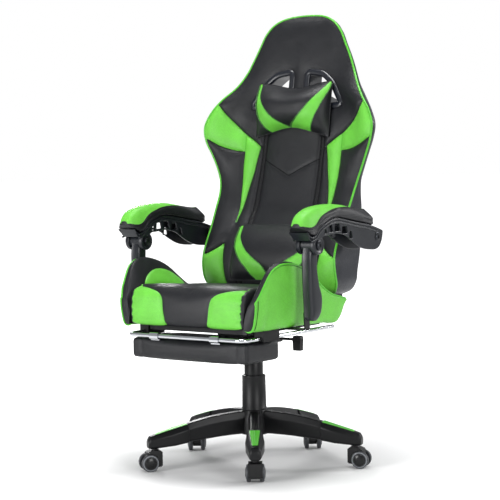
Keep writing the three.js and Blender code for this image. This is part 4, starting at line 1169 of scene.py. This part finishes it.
def arm_post(name, side):
    post_at = through(POST)
    angles = np.linspace(0, 2 * math.pi, 40, endpoint=False)
    rings = []
    for z in np.r_[np.linspace(444, 456, 6), np.linspace(460, 646, 40)]:
        front, rear, half = post_at(z)
        cos, sin = np.cos(angles), np.sin(angles)
        x = half * np.sign(cos) * np.abs(cos) ** 0.55
        y = (front + rear) / 2 + (rear - front) / 2 * np.sign(sin) * np.abs(sin) ** 0.55
        ridge = np.exp(-((np.abs(x) - half * 0.55) / 2.0) ** 2) * (sin < -0.5)
        rings.append(np.c_[x + side * ARM_CENTRE, y - 1.2 * ridge, np.full(len(x), z)])
    barrel = [[0, -17.2], [18.5, -17.2], [20, -16], [20, 16], [18.5, 17.2], [0, 17.2]]
    y, z = ARM_FRONT_AXIS
    parts = [skin(rings), lathe(barrel, 48, "x", (side * ARM_CENTRE, y, z))]
    place(make(f"post_{name}", *joined(parts), ARM_PLASTIC),
          f"post_{name}", "arm_plastic", f"arm_post_{name}")


def post_bracket(name, side):
    """A slim steel strap from under the seat pan to the foot of the post, with its pivot pin."""
    tab = rounded([[-142, 416], [-119, 416], [-122, 462], [-129, 470], [-141, 470], [-147, 463]], 5)
    points, faces = slab(tab, 276.2, 280.8, 0.8, 2)
    foot = rounded([[186.6, -153], [280.8, -145], [280.8, -120], [186.6, -121]], 4)
    foot_points, foot_faces = slab(foot, 415.2, 419.8, 0.8, 2)
    pin = lathe([[0, 278], [5, 278], [5, 307], [4.2, 308], [0, 308]], 24, "x", (0, -137, 458))
    parts = [(points[:, [2, 0, 1]], faces), (foot_points, foot_faces), pin]
    points, faces = joined(parts)
    place(make(f"post_strap_{name}", points * [side, 1, 1], faces, STEEL), "seat", "black_steel",
          f"post_bracket_{name}")


# ---- Footrest ----
RAIL_Y, RAIL_Z = -100, 399
RAIL_HALF, RAIL_RADIUS, RAIL_BAR, RAIL_END, RAIL_BEND = 203, 6, -220, 212, 24
FOOT_PAD, FOOT_SEAM = ((-201, -208, -67), (201, -52, -9.5)), 164
FOOT_SEAM_BAND, FOOT_END = 5, 194      # what cloth simulation leaves still: a band at each seam, and each end


def on_rail(points):
    return np.asarray(points, float) + [0, RAIL_Y, RAIL_Z]


def rounded_box(low, high, radius, spacing):
    """A box with round edges, as a fine grid on its six sides."""
    low, high = np.array(low, float), np.array(high, float)
    parts = []
    for axis in range(3):
        u, v = [a for a in range(3) if a != axis]
        for end in (low, high):
            counts = [max(3, int((high[a] - low[a]) / spacing) + 1) for a in (u, v)]
            us, vs = (np.linspace(low[a], high[a], n) for a, n in zip((u, v), counts))
            grid = np.zeros((len(us), len(vs), 3))
            grid[..., u], grid[..., v], grid[..., axis] = us[:, None], vs[None, :], end[axis]
            count = len(vs)
            cells = [(r * count + c, r * count + c + 1, (r + 1) * count + c + 1, (r + 1) * count + c)
                     for r in range(len(us) - 1) for c in range(count - 1)]
            parts.append((grid.reshape(-1, 3), cells))
    points, faces = joined(parts)
    core = np.clip(points, low + radius, high - radius)
    out = points - core
    out /= np.maximum(np.linalg.norm(out, axis=1), 1e-9)[:, None]
    return core + radius * out, faces


def footrest():
    half, bend = RAIL_HALF, RAIL_BEND
    path = [[half, RAIL_END, 0], [half, RAIL_BAR + bend, 0]]
    for side, turns in ((1, np.linspace(0, 90, 9)[1:]), (-1, np.linspace(90, 180, 9)[:-1])):
        for turn in np.radians(turns):
            x = side * (half - bend) + bend * math.cos(turn)
            path.append([x, RAIL_BAR + bend - bend * math.sin(turn), 0])
    path += [[-half, RAIL_BAR + bend, 0], [-half, RAIL_END, 0]]
    bar = along(on_rail(path), 4, smooth=False)
    place(make("footrest_bar", *swept(bar, RAIL_RADIUS, 24), CHROME), "footrest", "chrome", "footrest_frame")

    low, high = FOOT_PAD
    points, faces = rounded_box(low, high, 11, 6)
    x, y, z = points.T
    seam = np.exp(-((np.abs(x) - FOOT_SEAM) / 2.2) ** 2)
    across, up = (y - low[1]) / (high[1] - low[1]) - 0.5, (z - low[2]) / (high[2] - low[2]) - 0.5
    shrink = 1 - 0.03 * np.abs(x / high[0]) ** 8 - 0.05 * seam
    points = np.c_[x, (low[1] + high[1]) / 2 + across * (high[1] - low[1]) * (1 - 0.02 * seam),
                   (low[2] + high[2]) / 2 + up * (high[2] - low[2]) * shrink]
    piece = make("foot_cushion", on_rail(points), faces, BLACK_LEATHER, weld=True, sharp=70)
    fixed = [v.index for v in piece.data.vertices
             if abs(abs(v.co.x) / MM - FOOT_SEAM) < FOOT_SEAM_BAND or abs(v.co.x) / MM > FOOT_END]
    inflate(piece, fixed, pressure=3.0, cap=3)
    finer(piece)
    place(piece, "footpad", "black_leather", "footrest_pad")


# ---- Star base, castors and column ----
LEG_ANGLES = [36, 108, 180, 252, 324]
CASTOR_HEADINGS = [216, 108, 36, 36, 324]
CASTOR_CIRCLE, CASTOR_TRAIL, WHEEL_RADIUS = 300, 19, 25
# [distance from the column, top, bottom, half width of the top, half width]
LEG_ARM = [[26, 156.5, 90, 12, 19], [60, 154, 89, 12, 18], [110, 149, 86, 11.5, 17.3],
           [160, 140.5, 81, 11.5, 17.3], [206, 129.5, 76.5, 12, 18]]
LEG_CAP = [[203.5, 130, 76, 17, 24], [245, 119, 70, 15.5, 27], [298, 104.6, 65, 11, 20],
           [316, 99, 64, 9.5, 17], [322, 88, 66, 8, 14]]
HUB_RIBS = 36.6      # the radius that the ribs round the hub stand on
INLAY = {"start": 207, "end": 303, "wide": 15, "narrow": 8, "slope": math.radians(15.2), "top": 129.2}


def turned_by(points, degrees, centre=(0, 0)):
    """Points drawn along local +X, turned so that it heads the given way, 0 being -Y, then moved."""
    angle = math.radians(degrees - 90)
    x, y, z = np.asarray(points, float).T
    return np.c_[x * math.cos(angle) - y * math.sin(angle) + centre[0],
                 x * math.sin(angle) + y * math.cos(angle) + centre[1], z]


def leg_rings(stations):
    rings = []
    for r, top, bottom, half, wide in stations:
        shoulder = top - (top - bottom) * 0.3
        section = [[-half, top], [0, top + 0.4], [half, top], [wide, shoulder], [wide - 1, bottom + 5],
                   [wide - 6, bottom], [-wide + 6, bottom], [-wide + 1, bottom + 5], [-wide, shoulder]]
        rings.append([[r, w, z] for w, z in section])
    return rings


def star_base():
    arm_at = through(LEG_ARM)
    arm = leg_rings([[r, *arm_at(r)] for r in np.linspace(26, 206, 16)])
    cap = leg_rings(LEG_CAP)
    parts = []
    for angle in LEG_ANGLES:
        for rings in (arm, cap):
            points, faces = skin(rings)
            parts.append((turned_by(points, angle), faces))
    base = bevelled(make("base_legs", *joined(parts), BASE_PLASTIC, sharp=12), 2.4, 3, 14)
    place(base, "base", "base_plastic", "star_base")
    hub = [[25.4, 88], [40, 88], [42, 90.5], [41, 120], [38, 147], [36.5, 149], [36.5, 155.5], [35, 157.8],
           [25.4, 157.8]]
    parts = [lathe(hub, 72, wrap=True)]
    for turn in np.radians(np.arange(0, 360, 15)):
        x, y = HUB_RIBS * math.cos(turn), HUB_RIBS * math.sin(turn)
        parts.append(swept([[x, y, 149.5], [x, y, 150.5], [x, y, 154.5], [x, y, 155.5]], 1.3, 8))
    place(make("base_hub", *joined(parts), BASE_PLASTIC), "base", "base_plastic")

    length, wide, narrow = INLAY["end"] - INLAY["start"], INLAY["wide"], INLAY["narrow"]
    corners = [[0, -wide], [length, -narrow], [length, narrow], [0, wide]]
    plate = slab(along(rounded(corners, 2.5), 3, closed=True, smooth=False), -1.2, 1.3, 0.9, 3)
    ridge = swept([[4, 0, 0.9], [8, 0, 1.1], [length - 8, 0, 1.1], [length - 4, 0, 0.9]], 1.1, 8)
    points, faces = joined([plate, ridge])
    x, y, z = points.T
    cos, sin = math.cos(INLAY["slope"]), math.sin(INLAY["slope"])
    sloped = np.c_[INLAY["start"] + x * cos + z * sin, y, INLAY["top"] - x * sin + z * cos]
    for number, angle in enumerate(LEG_ANGLES, 1):
        place(make(f"leg_stripe_{number}", turned_by(sloped, angle), faces, INLAY_PLASTIC),
              "base", "inlay_green", f"leg_inlay_{number}")


def castor(number):
    angle = math.radians(LEG_ANGLES[number - 1])
    stem = (CASTOR_CIRCLE * math.sin(angle), -CASTOR_CIRCLE * math.cos(angle))
    heading = CASTOR_HEADINGS[number - 1]
    tyre = [[16.9, 13.4], [21.5, 12.4], [23.6, 12.4], [24.7, 13.2], [25, 14.5], [25, 21.5], [24.6, 22.9],
            [23.2, 23.9], [20, 24.6], [16.9, 24.8]]
    cap = [[4, 12.4], [17.2, 12.8], [17.2, 25.4], [16.4, 26.4], [15.2, 26.2], [14.4, 26.6], [11, 27.8],
           [5.6, 28.4], [0, 28.5]]
    ring = [[19.6, 24.2], [22.4, 23.6], [22.7, 24.4], [21.4, 25.2], [20.2, 25.3], [19.6, 24.9]]
    centre = (CASTOR_TRAIL, 0, WHEEL_RADIUS)
    tyres, caps, rings = [], [], []
    for end in (1, -1):
        for profile, parts, closed in ((tyre, tyres, True), (ring, rings, True), (cap, caps, False)):
            parts.append(lathe([[r, end * w] for r, w in profile], 64, "y", centre, wrap=closed))
    axle = lathe([[3.9, -14], [3.9, 14]], 24, "y", centre)
    for name, parts, look in (("tyres", tyres, TYRE), ("wheel_rings", rings, WHEEL_RING),
                              ("wheel_caps", [*caps, axle], CAP_PLASTIC)):
        points, faces = joined(parts)
        piece = make(f"castor_{name}_{number}", turned_by(points, heading, stem), faces, look, sharp=50)
        place(piece, f"wheels_{number}", "castor_wheel", f"castor_wheels_{number}")


def column():
    cylinder = [[0, 60], [24.9, 60], [24.9, 249], [24, 250], [14.5, 250], [14.5, 246], [0, 246]]
    place(make("cylinder_tube", *lathe(cylinder, 64), CYLINDER), "base", "cylinder", "gas_cylinder")
    lower = [[28.4, 158.4], [35.7, 158.4], [36.2, 160], [36, 164], [35.2, 165], [34.2, 252], [34.6, 254],
             [34.2, 258], [33, 259], [28.4, 259]]
    place(make("lower_cover", *lathe(lower, 72, wrap=True), BASE_PLASTIC), "base", "base_plastic",
          "column_cover_lower")
    upper = [[25.6, 251], [27.2, 251], [27.4, 253], [27.4, 300], [26.9, 301], [27.2, 302], [27.2, 347],
             [26.4, 349], [25.6, 349]]
    place(make("upper_cover", *lathe(upper, 64, wrap=True), BASE_PLASTIC), "lift", "base_plastic",
          "column_cover_upper")
    piston = [[0, 162], [13, 162], [14, 163], [14, 370], [13.4, 371], [0, 371]]
    place(make("piston_rod", *lathe(piston, 48), CHROME), "lift", "chrome", "gas_piston")


KNOB_Y, KNOB_RIBS = -72, 22.4      # the knob's place, and the radius its ribs stand on


def tension_knob():
    profile = [[0, 333], [18, 333], [21.5, 334], [23, 336], [23, 343], [22, 345], [18, 349], [6, 349],
               [6, 365], [0, 365]]
    parts = [lathe(profile, 60, centre=(0, KNOB_Y, 0))]
    for turn in np.radians(np.arange(0, 360, 20)):
        x, y = KNOB_RIBS * math.cos(turn), KNOB_Y + KNOB_RIBS * math.sin(turn)
        parts.append(swept([[x, y, 335.5], [x, y, 337], [x, y, 342], [x, y, 343.5]], 1.5, 8))
    place(make("knob_grip", *joined(parts), BASE_PLASTIC), "knob", "knob_plastic", "tension_knob")


# ---- CAD pieces that keep their shape ----
def finish_frame():
    """Gives each CAD node that still shows its material and soft edges."""
    looks = [
        ("castor_hood", HOOD_PLASTIC, 1.1), ("mechanism_housing", STEEL, 0.8), ("lever_rocker", STEEL, 0.6),
        ("lift_lever", BASE_PLASTIC, 1.2), ("seat_plate", STEEL, 0.6), ("seat_pan", STEEL, 0.8),
        ("recline_bracket", STEEL, 0.8), ("post_bracket", STEEL, 0.8), ("footrest_guide", BASE_PLASTIC, 1.5),
        ("recline_lever", BASE_PLASTIC, 1.8), ("back_hinge", STEEL, 0.6), ("arm_anchor", STEEL, 0.6),
        ("footrest_hinge", CHROME, 0.5),
    ]
    for name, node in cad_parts.items():
        for start, look, width in looks:
            if not name.startswith(start) or node.hide_render or not node.material_slots:
                continue
            for material_slot in node.material_slots:
                material_slot.link = "OBJECT"
                material_slot.material = look
            bevelled(node, width, 2, 30)


add_camera()
add_studio()
back_upholstery()
back_shell()
for side_name, side_sign in SIDES.items():
    vent_bezel(side_name, side_sign)
add_pillows()
seat_cushion()
for side_name, side_sign in SIDES.items():
    bolster(side_name, side_sign)
    arm_beam(side_name, side_sign)
    arm_pad(side_name, side_sign)
    arm_post(side_name, side_sign)
    post_bracket(side_name, side_sign)
footrest()
star_base()
for castor_number in range(1, 6):
    castor(castor_number)
column()
tension_knob()
finish_frame()
